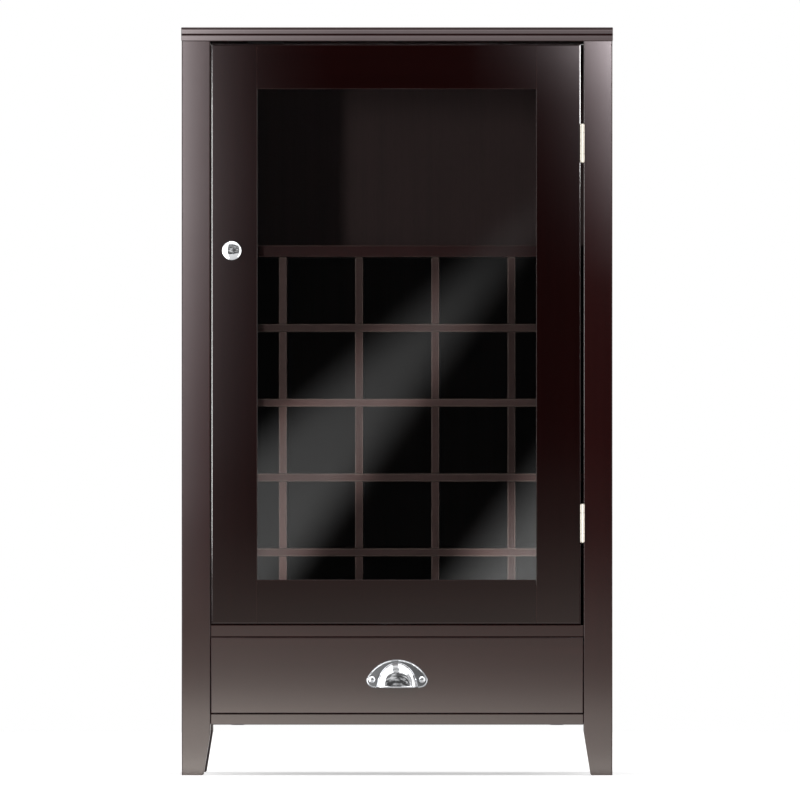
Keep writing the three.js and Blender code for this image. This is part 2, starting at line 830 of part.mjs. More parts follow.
for (const { name, sign } of sides) {
  addPiece(cabinet, `drawer_runner_${name}`, easedBoard(
    [sign * runnerFace, sign * (innerHalf - seat)],
    [boxFront, rearLegFront],
    runnerZ,
  ), espressoBoard);

  const side = easedBoard([sign * drawerInner, sign * drawerOuter], [boxFront, boxBack], [boxLow, boxHigh]);
  const runnerGroove = block(
    [sign * (runnerFace - runnerPlay), sign * (drawerOuter + overrun)],
    [boxFront - overrun, boxBack + overrun],
    [runnerZ[0] - runnerPlay, runnerZ[1] + seat],
  );
  const bottomGroove = block(
    [sign * (drawerInner - overrun), sign * (drawerBottomHalf + seat)],
    [boxFront - overrun, boxBack + overrun],
    [drawerBottomLow - seat, drawerBottomHigh + seat],
  );
  addPiece(drawer, `drawer_side_${name}`, subtractAll(side, [runnerGroove, bottomGroove]), espressoBoard);
}

addPiece(drawer, 'drawer_bottom', block(
  [-drawerBottomHalf, drawerBottomHalf],
  [drawerFrontThickness - drawerGrooveDepth, boxBack],
  [drawerBottomLow, drawerBottomHigh],
), hardboard);
addPiece(drawer, 'drawer_back', easedBoard(
  [seat - drawerInner, drawerInner - seat],
  [boxBack - drawerSideThickness, boxBack],
  [drawerBottomHigh + seat, boxHigh],
), espressoBoard);

const pullLow = drawerFrontZ[0] + pullRise;
const pullScrewZ = pullLow + pullScrewRise;
const pullScrewPlaces = sides.map(({ name, sign }) => ({ name, x: (sign * pullScrewSpacing) / 2 }));

function drawerFront() {
  const depth = [0, drawerFrontThickness];
  const slab = roundedFrontPanel(drawerFrontX, depth, drawerFrontZ, drawerFrontEdgeRadius);
  const groove = block(
    widened([-drawerBottomHalf, drawerBottomHalf], seat),
    [drawerFrontThickness - drawerGrooveDepth - seat, drawerFrontThickness + overrun],
    [drawerBottomLow - seat, drawerBottomHigh + seat],
  );
  const holes = pullScrewPlaces.map(({ x }) => rod(
    pullScrewRadius + boreGap,
    'y',
    [x, 0, pullScrewZ],
    [-overrun, pullScrewLength + boreGap],
  ));
  return subtractAll(slab, [groove, ...holes]);
}

addPiece(drawer, 'drawer_front', drawerFront(), espresso);

// Cup pull: a rimmed plate and a quarter of an ellipsoid, open below and behind

function pullOutline(inset) {
  const half = pullWidth / 2 - inset;
  const foot = pullFootWidth / 2 - inset;
  const shoulder = pullShoulder;
  const top = pullHeight - inset;
  const rise = top - shoulder;
  const archRadius = (half * half + rise * rise) / (2 * rise);
  const archAngle = Math.asin(half / archRadius);
  const points = [];
  for (let i = 0; i <= cupSteps / 2; i += 1) {
    const turn = archAngle * ((4 * i) / cupSteps - 1);
    points.push([top - archRadius + archRadius * Math.cos(turn), archRadius * Math.sin(turn)]);
  }
  for (let i = 1; i <= roundSteps; i += 1) {
    const turn = (Math.PI / 2) * (i / roundSteps);
    points.push([
      inset + (shoulder - inset) * (1 - Math.sin(turn)),
      foot + (half - foot) * Math.cos(turn),
    ]);
  }
  for (let i = 0; i < roundSteps; i += 1) {
    const turn = (Math.PI / 2) * (1 - i / roundSteps);
    points.push([
      inset + (shoulder - inset) * (1 - Math.sin(turn)),
      -foot - (half - foot) * Math.cos(turn),
    ]);
  }
  return polygon(points.map(([rises, across]) => [rises + pullLow, across]));
}

function cup(inset) {
  const ball = new THREE.SphereGeometry(1, cupSteps, cupSteps / 2);
  ball.scale(pullCupWidth / 2 - inset, pullCupReach - inset, pullCupHeight - inset);
  ball.translate(0, -seat, pullLow);
  return toSolid(ball);
}

function drawerPull() {
  const plateFront = -seat - pullPlateThickness;
  const plate = extrude(pullOutline(0), 'y', [plateFront, -seat]);
  const rimBlank = extrude(pullOutline(0), 'y', [plateFront - pullRimHeight, plateFront + seat]);
  const rimInner = extrude(pullOutline(pullRimWidth), 'y', [plateFront - overrun, -seat]);
  const frontSpace = block(
    [-pullCupWidth, pullCupWidth],
    [-seat - pullCupReach - overrun, -seat],
    [pullLow, pullLow + pullCupHeight + overrun],
  );
  const dome = cup(0).intersect(frontSpace);
  const lipBand = block(
    [-pullCupWidth, pullCupWidth],
    [-seat - pullCupReach - overrun, -seat],
    [pullLow, pullLow + pullLipHeight],
  );
  const lip = cup(-pullLipReach).intersect(lipBand);
  const holes = pullScrewPlaces.map(({ x }) => rod(
    pullScrewRadius + boreGap,
    'y',
    [x, 0, pullScrewZ],
    [-overrun, overrun],
  ));
  const outside = addAll(plate, [rimBlank.subtract(rimInner), dome, lip]);
  return subtractAll(outside, [cup(pullWall), ...holes]);
}

function pullScrew(x) {
  const headBack = -2 * seat - pullPlateThickness;
  const profile = [
    [0, pullScrewLength],
    [pullScrewRadius * screwTipShare, pullScrewLength],
    [pullScrewRadius, pullScrewLength - pullScrewRadius],
    [pullScrewRadius, headBack],
    [pullScrewHeadRadius, headBack],
  ];
  for (let i = 1; i <= roundSteps; i += 1) {
    const turn = (Math.PI / 2) * (i / roundSteps);
    profile.push([
      pullScrewHeadRadius * Math.cos(turn),
      headBack - pullScrewHeadDepth * Math.sin(turn),
    ]);
  }
  profile[profile.length - 1][0] = 0;
  return turned(profile.reverse(), 'y', [x, 0, pullScrewZ], boreSteps);
}

addPiece(drawer, 'drawer_pull', drawerPull(), chrome);
for (const { name, x } of pullScrewPlaces) {
  addPiece(drawer, `pull_screw_${name}`, pullScrew(x), chrome);
}

export default cabinet;
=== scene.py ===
import json
import math

import bmesh
import bpy
from mathutils import Matrix, Vector

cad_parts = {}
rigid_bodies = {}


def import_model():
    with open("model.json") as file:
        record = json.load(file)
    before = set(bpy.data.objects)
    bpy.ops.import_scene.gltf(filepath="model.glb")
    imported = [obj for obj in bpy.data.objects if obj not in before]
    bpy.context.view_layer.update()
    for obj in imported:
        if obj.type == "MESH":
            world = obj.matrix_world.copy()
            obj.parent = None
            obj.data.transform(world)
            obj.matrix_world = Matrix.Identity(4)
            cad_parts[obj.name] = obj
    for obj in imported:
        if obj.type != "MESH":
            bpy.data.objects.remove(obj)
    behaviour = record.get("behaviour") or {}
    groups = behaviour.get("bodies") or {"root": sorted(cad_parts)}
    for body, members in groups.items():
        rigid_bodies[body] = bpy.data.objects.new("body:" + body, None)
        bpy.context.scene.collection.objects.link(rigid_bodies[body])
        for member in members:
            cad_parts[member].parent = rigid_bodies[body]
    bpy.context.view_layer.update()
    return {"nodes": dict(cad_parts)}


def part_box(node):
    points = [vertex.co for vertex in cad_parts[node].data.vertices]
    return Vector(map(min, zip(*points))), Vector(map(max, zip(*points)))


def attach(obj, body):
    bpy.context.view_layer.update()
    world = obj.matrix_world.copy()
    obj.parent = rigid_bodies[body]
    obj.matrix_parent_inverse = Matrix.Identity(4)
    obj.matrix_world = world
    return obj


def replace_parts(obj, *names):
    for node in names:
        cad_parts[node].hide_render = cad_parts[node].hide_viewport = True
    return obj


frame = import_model()
nodes = frame["nodes"]
millimetre = 0.001
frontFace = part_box("leg_front_left")[0].y
print("frame loaded:", len(nodes), "nodes")


# Node and mesh helpers

def feed(tree, node, sockets):
    # links another node's output to each socket, or sets a plain value on it
    for key, value in sockets.items():
        if isinstance(value, bpy.types.NodeSocket):
            tree.links.new(value, node.inputs[key])
        else:
            node.inputs[key].default_value = value


def addNode(tree, kind, sockets=None, **fields):
    node = tree.nodes.new(kind)
    for field, value in fields.items():
        setattr(node, field, value)
    feed(tree, node, sockets or {})
    return node


def calc(tree, operation, *values):
    return addNode(tree, "ShaderNodeMath", dict(enumerate(values)), operation=operation).outputs[0]


def times(tree, first, second):
    return calc(tree, "MULTIPLY", first, second)


def plus(tree, first, second):
    return calc(tree, "ADD", first, second)


def minus(tree, first, second):
    return calc(tree, "SUBTRACT", first, second)


def vectorCalc(tree, operation, *values):
    node = addNode(tree, "ShaderNodeVectorMath", dict(enumerate(values)), operation=operation)
    return node.outputs["Value" if operation == "DOT_PRODUCT" else "Vector"]


def mapRange(tree, value, fromLow, fromHigh, toLow=0.0, toHigh=1.0, smooth=False):
    sockets = {0: value, 1: fromLow, 2: fromHigh, 3: toLow, 4: toHigh}
    kind = "SMOOTHSTEP" if smooth else "LINEAR"
    return addNode(tree, "ShaderNodeMapRange", sockets, interpolation_type=kind).outputs[0]


def mixColours(tree, factor, first, second):
    return addNode(tree, "ShaderNodeMix", {0: factor, 6: first, 7: second}, data_type="RGBA").outputs[2]


def mixValues(tree, factor, first, second):
    return addNode(tree, "ShaderNodeMix", {0: factor, 2: first, 3: second}, data_type="FLOAT").outputs[0]


def noise(tree, vector, scale, detail=2.0, roughness=0.5):
    sockets = {"Vector": vector, "Scale": scale, "Detail": detail, "Roughness": roughness}
    return addNode(tree, "ShaderNodeTexNoise", sockets).outputs["Fac"]


def newGroup(name, inputs, outputs):
    # inputs have a kind each, and all outputs are masks
    tree = bpy.data.node_groups.new(name, "ShaderNodeTree")
    for label, kind in inputs.items():
        tree.interface.new_socket(label, in_out="INPUT", socket_type="NodeSocket" + kind)
    for label in outputs:
        tree.interface.new_socket(label, in_out="OUTPUT", socket_type="NodeSocketFloat")
    return tree, tree.nodes.new("NodeGroupInput").outputs, tree.nodes.new("NodeGroupOutput")


def useGroup(tree, group, sockets):
    return addNode(tree, "ShaderNodeGroup", sockets, node_tree=group).outputs


def ownNode(tree, kind):
    # the node of this kind that a new material or lamp comes with
    return next(n for n in tree.nodes if n.type == kind)


def newMaterial(name):
    material = bpy.data.materials.new(name)
    material.use_nodes = True
    tree = material.node_tree
    place = addNode(tree, "ShaderNodeTexCoord").outputs["Object"]
    return material, tree, ownNode(tree, "BSDF_PRINCIPLED"), place


def bump(tree, height, strength, distance):
    sockets = {"Height": height, "Strength": strength, "Distance": distance}
    return addNode(tree, "ShaderNodeBump", sockets).outputs[0]


def darkened(colour, share):
    return tuple(c * share for c in colour[:3]) + (1,)


# Shared effects: wood grain, worn edges that also carry a painted highlight, dust and hand marks. Each range
# is where a pattern goes from 0 to 1

grainValues = {
    # scales along and across the grain
    "wide": (2.2, 95.0, 95.0), "fine": (5.0, 420.0, 420.0), "cloudy": (2.5, 11.0, 11.0),
    "pored": (60.0, 1500.0, 1500.0), "wideShare": 0.6, "fineShare": 0.4,
    "streakRange": (0.32, 0.68), "cloudRange": (0.3, 0.7), "poreRange": (0.62, 0.74),
    "boardShift": (0.37, 0.11, 0.23),
}
# the mask of pale arrises: partly wear, partly a painted edge highlight
edgeValues = {"edgeRange": (0.3, 1.0), "breakScale": 45.0, "breakRange": (0.35, 0.65), "breakLeast": 0.45}
dustValues = {
    "upRange": (0.5, 1.0), "patchScale": 9.0, "patchRange": (0.3, 0.75), "speckScale": 900.0,
    "speckRange": (0.66, 0.78),
}
markValues = {"scratchScale": (30.0, 9.0, 1.5), "smudgeRange": (0.4, 0.7), "scratchRange": (0.68, 0.74)}


def makeWoodGrain(values):
    tree, start, end = newGroup("woodGrain", {"Along": "Vector"}, ("Streaks", "Cloud", "Pores"))

    def stretched(name, detail):
        return noise(tree, vectorCalc(tree, "MULTIPLY", start["Along"], values[name]), 1.0, detail)

    streaks = plus(
        tree,
        times(tree, stretched("wide", 3.0), values["wideShare"]),
        times(tree, stretched("fine", 2.0), values["fineShare"]),
    )
    feed(tree, end, {
        "Streaks": mapRange(tree, streaks, *values["streakRange"]),
        "Cloud": mapRange(tree, stretched("cloudy", 2.0), *values["cloudRange"]),
        "Pores": mapRange(tree, stretched("pored", 1.0), *values["poreRange"]),
    })
    return tree


def makeEdgeWearAndHighlight(values):
    # lightest along the arrises of a board whose box is given, broken up by noise: partly real wear, partly
    # a painted highlight of the eased edges
    inputs = {"Place": "Vector", "Low": "Vector", "High": "Vector", "Width": "Float"}
    tree, start, end = newGroup("edgeWearAndHighlight", inputs, ("Edge",))
    fromLow = vectorCalc(tree, "ABSOLUTE", vectorCalc(tree, "SUBTRACT", start["Place"], start["Low"]))
    fromHigh = vectorCalc(tree, "ABSOLUTE", vectorCalc(tree, "SUBTRACT", start["High"], start["Place"]))
    nearest = vectorCalc(tree, "MINIMUM", fromLow, fromHigh)
    x, y, z = addNode(tree, "ShaderNodeSeparateXYZ", {0: nearest}).outputs
    second = calc(
        tree, "MAXIMUM",
        calc(tree, "MINIMUM", x, y),
        calc(tree, "MINIMUM", calc(tree, "MAXIMUM", x, y), z),
    )
    share = calc(tree, "DIVIDE", second, start["Width"])
    edge = mapRange(tree, share, *values["edgeRange"], 1.0, 0.0, True)
    patches = noise(tree, start["Place"], values["breakScale"], 3.0)
    brokenUp = mapRange(tree, patches, *values["breakRange"], values["breakLeast"], 1.0)
    feed(tree, end, {"Edge": times(tree, edge, brokenUp)})
    return tree


def makeDust(values):
    # settles on faces that look up
    inputs = {"Normal": "Vector", "Place": "Vector", "Amount": "Float"}
    tree, start, end = newGroup("dustFilm", inputs, ("Dust",))
    facing = vectorCalc(tree, "DOT_PRODUCT", start["Normal"], (0.0, 0.0, 1.0))
    upward = mapRange(tree, facing, *values["upRange"])
    patches = noise(tree, start["Place"], values["patchScale"], 4.0, 0.6)
    specks = noise(tree, start["Place"], values["speckScale"], 1.0)
    cover = plus(
        tree,
        mapRange(tree, patches, *values["patchRange"]), mapRange(tree, specks, *values["speckRange"]),
    )
    feed(tree, end, {"Dust": times(tree, times(tree, upward, cover), start["Amount"])})
    return tree


def makeHandMarks(values):
    # smudges and hairline scratches of handled metal and glass
    tree, start, end = newGroup("handMarks", {"Place": "Vector", "Size": "Float"}, ("Smudge", "Scratch"))
    sized = addNode(
        tree, "ShaderNodeVectorMath", {0: start["Place"], "Scale": start["Size"]}, operation="SCALE",
    ).outputs["Vector"]
    long = vectorCalc(tree, "MULTIPLY", sized, values["scratchScale"])
    feed(tree, end, {
        "Smudge": mapRange(tree, noise(tree, sized, 1.0, 4.0, 0.6), *values["smudgeRange"]),
        "Scratch": mapRange(tree, noise(tree, long, 1.0, 1.0), *values["scratchRange"]),
    })
    return tree


woodGrain = makeWoodGrain(grainValues)
edgeWearAndHighlight = makeEdgeWearAndHighlight(edgeValues)
dustFilm = makeDust(dustValues)
handMarks = makeHandMarks(markValues)

# Woods. along is the axis of the grain

lacquerLeg = {
    "dark": (0.017, 0.0022, 0.0022, 1), "light": (0.027, 0.0042, 0.0040, 1),
    "rough": 0.14, "roughSpread": 0.02, "shine": 0.7,
    "streakShare": 0.55, "cloudShare": 0.45, "streakDepth": 0.25,
    "poreColour": (0.008, 0.003, 0.003, 1), "poreShare": 0.35, "poreDepth": 0.00002, "bump": 0.35,
    # a paler, greyer colour along the arrises: partly wear, partly a painted highlight
    "wornAndHighlit": (0.060, 0.026, 0.022, 1), "wearAndHighlight": 0.25, "wearAndHighlightWidth": 0.0016,
    "dustColour": (0.30, 0.28, 0.26, 1), "dust": 0.05, "dustRough": 0.6,
}
# the leg lacquer with a darker base colour for the door frame: painted shade
paintedShadeDoorLacquer = {
    **lacquerLeg, "dark": (0.0065, 0.0007, 0.0007, 1), "light": (0.0105, 0.0014, 0.0013, 1),
    "rough": 0.12, "shine": 0.3,
}
lacquerFront = {**lacquerLeg, "shine": 0.8}
boardInside = {
    **lacquerLeg, "dark": (0.024, 0.0115, 0.0105, 1), "light": (0.036, 0.018, 0.0165, 1), "rough": 0.5,
    # strong pale edges: partly wear, partly a painted highlight of the eased edges
    "shine": 0.08, "wornAndHighlit": (0.085, 0.062, 0.055, 1), "wearAndHighlight": 0.7, "wearAndHighlightWidth": 0.0018,
}
shelfBoard = {
    **boardInside, "dark": (0.013, 0.0020, 0.0020, 1), "light": (0.021, 0.0040, 0.0040, 1), "wearAndHighlight": 0.3,
}
# copies of the inside board, paler for two rack boards and deeper for one: painted light on the paler two,
# painted shade on the deeper one
paintedLightPaleBoard = {**boardInside, "dark": (0.036, 0.019, 0.0175, 1), "light": (0.054, 0.030, 0.0275, 1)}
paintedLightWarmBoard = {**boardInside, "dark": (0.036, 0.0185, 0.0170, 1), "light": (0.054, 0.0285, 0.0265, 1)}
paintedShadeDeepBoard = {**boardInside, "dark": (0.015, 0.0066, 0.0060, 1), "light": (0.023, 0.0105, 0.0095, 1)}
thinBoard = {
    **boardInside, "dark": (0.032, 0.018, 0.018, 1), "light": (0.046, 0.026, 0.026, 1), "rough": 0.6,
    "wearAndHighlight": 0.2,
}


def stainedWood(node, values, along):
    material, tree, shader, place = newMaterial(node + "_finish")
    low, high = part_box(node)
    turn = {"x": (0, 0, 0), "y": (0, 0, math.pi / 2), "z": (0, math.pi / 2, 0)}[along]
    seed = sum(ord(letter) * (i + 3) for i, letter in enumerate(node)) % 97  # each board has its own grain
    shift = tuple(seed * step for step in grainValues["boardShift"])
    mapping = {"Vector": place, "Location": shift, "Rotation": turn}
    turned = addNode(tree, "ShaderNodeMapping", mapping, vector_type="POINT").outputs[0]
    grain = useGroup(tree, woodGrain, {"Along": turned})
    tone = plus(
        tree,
        times(tree, grain["Streaks"], values["streakShare"]),
        times(tree, grain["Cloud"], values["cloudShare"]),
    )
    stain = mixColours(tree, tone, values["dark"], values["light"])
    pores = times(tree, grain["Pores"], values["poreShare"])
    pored = mixColours(tree, pores, stain, values["poreColour"])
    edges = useGroup(
        tree, edgeWearAndHighlight,
        {"Place": place, "Low": tuple(low), "High": tuple(high), "Width": values["wearAndHighlightWidth"]},
    )["Edge"]
    # edges made paler and greyer: partly wear, partly a painted highlight
    wornAndHighlit = mixColours(tree, times(tree, edges, values["wearAndHighlight"]), pored, values["wornAndHighlit"])
    normal = addNode(tree, "ShaderNodeNewGeometry").outputs["Normal"]
    dust = useGroup(tree, dustFilm, {"Normal": normal, "Place": place, "Amount": values["dust"]})["Dust"]
    ripple = times(tree, minus(tree, grain["Cloud"], 0.5), values["roughSpread"])
    dulled = times(tree, dust, values["dustRough"])
    streaks = times(tree, grain["Streaks"], values["streakDepth"])
    feed(tree, shader, {
        "Base Color": mixColours(tree, dust, wornAndHighlit, values["dustColour"]),
        "Roughness": plus(tree, plus(tree, ripple, values["rough"]), dulled),
        "Normal": bump(tree, minus(tree, streaks, grain["Pores"]), values["bump"], values["poreDepth"]),
        "Specular IOR Level": values["shine"],
    })
    return material


def dress(node, material):
    slots = nodes[node].data.materials
    for i in range(len(slots)):
        slots[i] = material


woods = {
    "x": (
        (lacquerLeg, ["top_panel"]),
        (lacquerFront, ["deck_panel", "bottom_panel", "drawer_front"]),
        # door rails and beads take the darker lacquer copy: painted shade
        (paintedShadeDoorLacquer, ["door_rail_top", "door_rail_bottom", "glazing_bead_top", "glazing_bead_bottom"]),
        (shelfBoard, ["upper_shelf"]),
        (boardInside, ["drawer_back", "rack_shelf_1", "rack_shelf_2", "rack_shelf_4"]),
        # rack_shelf_3 gets the paler copy: painted light
        (paintedLightWarmBoard, ["rack_shelf_3"]),
    ),
    "y": (
        (boardInside, ["drawer_side_left", "drawer_side_right", "drawer_runner_left", "drawer_runner_right",
                       "rack_divider_2", "rack_divider_3"]),
        # rack_divider_1 gets painted light, rack_divider_4 painted shade
        (paintedLightPaleBoard, ["rack_divider_1"]),
        (paintedShadeDeepBoard, ["rack_divider_4"]),
        (thinBoard, ["drawer_bottom"]),
    ),
    "z": (
        (lacquerLeg, ["leg_front_left", "leg_front_right", "leg_rear_left", "leg_rear_right",
                      "side_panel_left", "side_panel_right"]),
        # door stiles and beads take the darker lacquer copy: painted shade
        (paintedShadeDoorLacquer, ["door_stile_left", "door_stile_right", "glazing_bead_left", "glazing_bead_right"]),
        (thinBoard, ["back_panel"]),
    ),
}
for along, sets in woods.items():
    for values, names in sets:
        for name in names:
            dress(name, stainedWood(name, values, along))
print("woods dressed")

# Metals, glass and plastic

metalBase = {"smudgeTint": 0.25, "smudgeShade": 0.82, "bump": 0.15, "scratchDepth": 0.00001}
metals = {
    "chromePlate": {
        **metalBase, "colour": (0.80, 0.81, 0.83, 1), "size": 90.0,
        "rough": 0.05, "smudge": 0.06, "scratch": 0.05,
    },
    "satinNickelPlate": {
        **metalBase, "colour": (0.86, 0.80, 0.70, 1), "size": 120.0,
        "rough": 0.30, "smudge": 0.08, "scratch": 0.10,
    },
    "zincSteel": {
        **metalBase, "colour": (0.45, 0.45, 0.46, 1), "size": 100.0,
        "rough": 0.34, "smudge": 0.12, "scratch": 0.12,
    },
}
glassValues = {
    "markSize": 14.0, "smudgeTint": 0.5, "clean": (0.985, 1.0, 0.992, 1), "smudged": (0.95, 0.97, 0.96, 1),
    "index": 1.5, "shadow": (0.93, 0.95, 0.94, 1),
}
plasticBase = {
    "speckleShade": 0.7, "speckleRange": (0.3, 0.7), "roughSpread": 0.06, "bump": 0.3, "gritDepth": 0.00006,
}
plastics = {
    "catchPlastic": {**plasticBase, "colour": (0.024, 0.022, 0.022, 1), "rough": 0.45, "grit": 900.0},
    "magnetFerrite": {**plasticBase, "colour": (0.055, 0.055, 0.06, 1), "rough": 0.55, "grit": 1500.0},
    "capPlastic": {**plasticBase, "colour": (0.030, 0.014, 0.012, 1), "rough": 0.4, "grit": 700.0},
}


def metalFinish(name, values):
    material, tree, shader, place = newMaterial(name)
    marks = useGroup(tree, handMarks, {"Place": place, "Size": values["size"]})
    tint = times(tree, marks["Smudge"], values["smudgeTint"])
    dulled = mixColours(tree, tint, values["colour"], darkened(values["colour"], values["smudgeShade"]))
    marked = plus(
        tree,
        times(tree, marks["Smudge"], values["smudge"]),
        times(tree, marks["Scratch"], values["scratch"]),
    )
    feed(tree, shader, {
        "Base Color": dulled, "Metallic": 1.0, "Roughness": plus(tree, values["rough"], marked),
        "Normal": bump(tree, marks["Scratch"], values["bump"], values["scratchDepth"]),
    })
    return material


def glassFinish(values):
    material, tree, shader, place = newMaterial("clearGlass")
    marks = useGroup(tree, handMarks, {"Place": place, "Size": values["markSize"]})
    tint = times(tree, marks["Smudge"], values["smudgeTint"])
    feed(tree, shader, {
        "Base Color": mixColours(tree, tint, values["clean"], values["smudged"]),
        "Transmission Weight": 1.0, "IOR": values["index"], "Roughness": 0.0,
    })
    # lamps reach what is behind the pane
    clear = addNode(tree, "ShaderNodeBsdfTransparent", {"Color": values["shadow"]}).outputs[0]
    shadowRay = addNode(tree, "ShaderNodeLightPath").outputs["Is Shadow Ray"]
    mixed = addNode(tree, "ShaderNodeMixShader", {0: shadowRay, 1: shader.outputs[0], 2: clear}).outputs[0]
    feed(tree, ownNode(tree, "OUTPUT_MATERIAL"), {"Surface": mixed})
    return material


def plasticFinish(name, values):
    material, tree, shader, place = newMaterial(name)
    speckle = noise(tree, place, values["grit"])
    darker = darkened(values["colour"], values["speckleShade"])
    least, most = values["rough"] - values["roughSpread"], values["rough"] + values["roughSpread"]
    feed(tree, shader, {
        "Base Color": mixColours(tree, speckle, darker, values["colour"]),
        "Roughness": mapRange(tree, speckle, *values["speckleRange"], least, most),
        "Normal": bump(tree, speckle, values["bump"], values["gritDepth"]),
    })
    return material


chrome, nickel, steel = [metalFinish(name, values) for name, values in metals.items()]
glass = glassFinish(glassValues)
plastic, ferrite, capPlastic = [plasticFinish(name, values) for name, values in plastics.items()]

for name in nodes:
    if name.startswith("hinge_"):
        dress(name, nickel)
for name in ("door_knob", "drawer_pull", "pull_screw_left", "pull_screw_right"):
    dress(name, chrome)
for name in ("knob_screw", "strike_plate"):
    dress(name, steel)
dress("door_glass", glass)
dress("catch_body", plastic)
dress("catch_magnet", ferrite)
print("metals, glass and plastic dressed")


# Mesh helpers. Pieces are drawn in millimetres round their own centre, then set in place

weldDistance = 0.0005  # in millimetres


def addObject(name, data):
    item = bpy.data.objects.new(name, data)
    bpy.context.scene.collection.objects.link(item)
    return item


def toMesh(name, bm):
    mesh = bpy.data.meshes.new(name)
    bm.to_mesh(mesh)
    bm.free()
    return mesh


def arc(bm, start, centre, axis, angle, steps):
    # edges along a circle from start, returned as its vertices in order
    first = bm.verts.new(start)
    before = set(bm.verts)
    bmesh.ops.spin(bm, geom=[first], cent=centre, axis=axis, angle=angle, steps=steps, use_duplicate=False)
    return [first] + [v for v in bm.verts if v not in before]


def chain(bm, points):
    # edges from each point or vertex to the next
    verts = [p if isinstance(p, bmesh.types.BMVert) else bm.verts.new(p) for p in points]
    for a, b in zip(verts, verts[1:]):
        if not bm.edges.get((a, b)):
            bm.edges.new((a, b))


def lathe(profile, steps):
    # a solid turned from (radius, depth) pairs about the depth axis, which looks towards the room
    bm = bmesh.new()
    chain(bm, [(radius, -depth, 0) for radius, depth in profile])
    bmesh.ops.spin(
        bm, geom=bm.verts[:] + bm.edges[:], cent=(0, 0, 0), axis=(0, 1, 0), angle=2 * math.pi,
        steps=steps, use_merge=True,
    )
    bmesh.ops.remove_doubles(bm, verts=bm.verts, dist=weldDistance)
    bmesh.ops.recalc_face_normals(bm, faces=bm.faces)
    return bm


def setDown(bm, verts, place):
    # from millimetres round the origin to metres in place
    bmesh.ops.scale(bm, vec=(millimetre,) * 3, verts=verts)
    bmesh.ops.translate(bm, vec=place, verts=verts)


def stamp(bm, mesh, turn, place):
    # adds a copy of a mesh, turned and set in place
    before = set(bm.verts)
    bm.from_mesh(mesh)
    new = [v for v in bm.verts if v not in before]
    bmesh.ops.rotate(bm, cent=(0, 0, 0), matrix=turn, verts=new)
    setDown(bm, new, place)


def toPiece(name, bm, body, material, sharpAngle):
    mesh = toMesh(name, bm)
    mesh.materials.append(material)
    mesh.shade_smooth()
    mesh.set_sharp_from_angle(angle=math.radians(sharpAngle))
    piece = addObject(name, mesh)
    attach(piece, body)
    return piece


def roundOff(piece, width, segments, angle):
    # eases the edges that are sharper than angle; width is in metres
    bevel = piece.modifiers.new("eased", "BEVEL")
    bevel.width = width
    bevel.segments = segments
    bevel.limit_method = "ANGLE"
    bevel.angle_limit = math.radians(angle)
    bevel.harden_normals = False


def curve(start, end, bulge, steps):
    # points on a quarter of an ellipse from start to end: bulge "first" leaves start along its first value
    points = []
    for i in range(steps + 1):
        t = math.radians(90 * i / steps)
        across = math.sin(t) if bulge == "first" else 1 - math.cos(t)
        along = 1 - math.cos(t) if bulge == "first" else math.sin(t)
        points.append((start[0] + (end[0] - start[0]) * across, start[1] + (end[1] - start[1]) * along))
    return points


def roundProfile(centre, radius, fromTilt, toTilt, steps):
    # points on a circle, by the tilt of its surface away from the room
    tilts = [fromTilt + (toTilt - fromTilt) * i / steps for i in range(steps + 1)]
    return [(centre[0] + radius * math.sin(tilt), centre[1] + radius * math.cos(tilt)) for tilt in tilts]


# Knob: flange, waisted neck and domed head, turned in one piece

knobValues = {
    "flangeRadius": 8.0, "flangeDepth": 2.4, "flangeEdge": 0.7, "neckRadius": 4.5, "headBack": 13.0,
    "headRadius": 12.5, "rimRound": 2.4, "crownRadius": 18.0, "reach": 25.0, "undercut": 6.0,
    "seatInset": 0.2, "seatRound": 0.3, "neckRise": 2.2, "flareRise": 1.4, "sharpAngle": 50,
    "turnSteps": 96, "seatSteps": 3, "flangeSteps": 4, "waistSteps": 8, "flareSteps": 5, "backSteps": 12,
    "rimSteps": 10, "crownSteps": 24,
}


def makeKnob(values):
    low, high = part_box("door_knob")
    flange, edge = values["flangeRadius"], values["flangeEdge"]
    seat = (flange - values["seatInset"], 0.0)
    shoulder = (flange - edge, values["flangeDepth"])
    profile = [(0, 0.0), seat]
    profile += curve(seat, (flange, values["seatRound"]), "first", values["seatSteps"])[1:]
    profile += curve((flange, values["flangeDepth"] - edge), shoulder, "second", values["flangeSteps"])
    neckStart = (values["neckRadius"], values["flangeDepth"] + values["neckRise"])
    profile += curve(shoulder, neckStart, "first", values["waistSteps"])[1:]
    neckEnd = (values["neckRadius"], values["headBack"] - values["flareRise"])
    profile += [neckEnd]
    flare = (values["headRadius"] - values["undercut"], values["headBack"])
    profile += curve(neckEnd, flare, "second", values["flareSteps"])[1:]
    crown, rim = values["crownRadius"], values["rimRound"]
    # how far the surface tilts where rim and crown meet
    tilt = math.asin((values["headRadius"] - rim) / (crown - rim))
    rimDepth = values["reach"] - crown + (crown - rim) * math.cos(tilt)
    rimMiddle = (values["headRadius"] - rim, rimDepth)
    profile += curve(flare, (values["headRadius"], rimDepth), "first", values["backSteps"])[1:]
    profile += roundProfile(rimMiddle, rim, math.pi / 2, tilt, values["rimSteps"])[1:]
    profile += roundProfile((0, values["reach"] - crown), crown, tilt, 0.0, values["crownSteps"])[1:]
    bm = lathe(profile, values["turnSteps"])
    setDown(bm, bm.verts, ((low.x + high.x) / 2, high.y, (low.z + high.z) / 2))
    return toPiece("door_knob_turned", bm, "door", chrome, values["sharpAngle"])


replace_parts(makeKnob(knobValues), "door_knob")
print("knob turned")

# Cup pull: an arched plate with a raised rim, a domed cup open below, and its lip

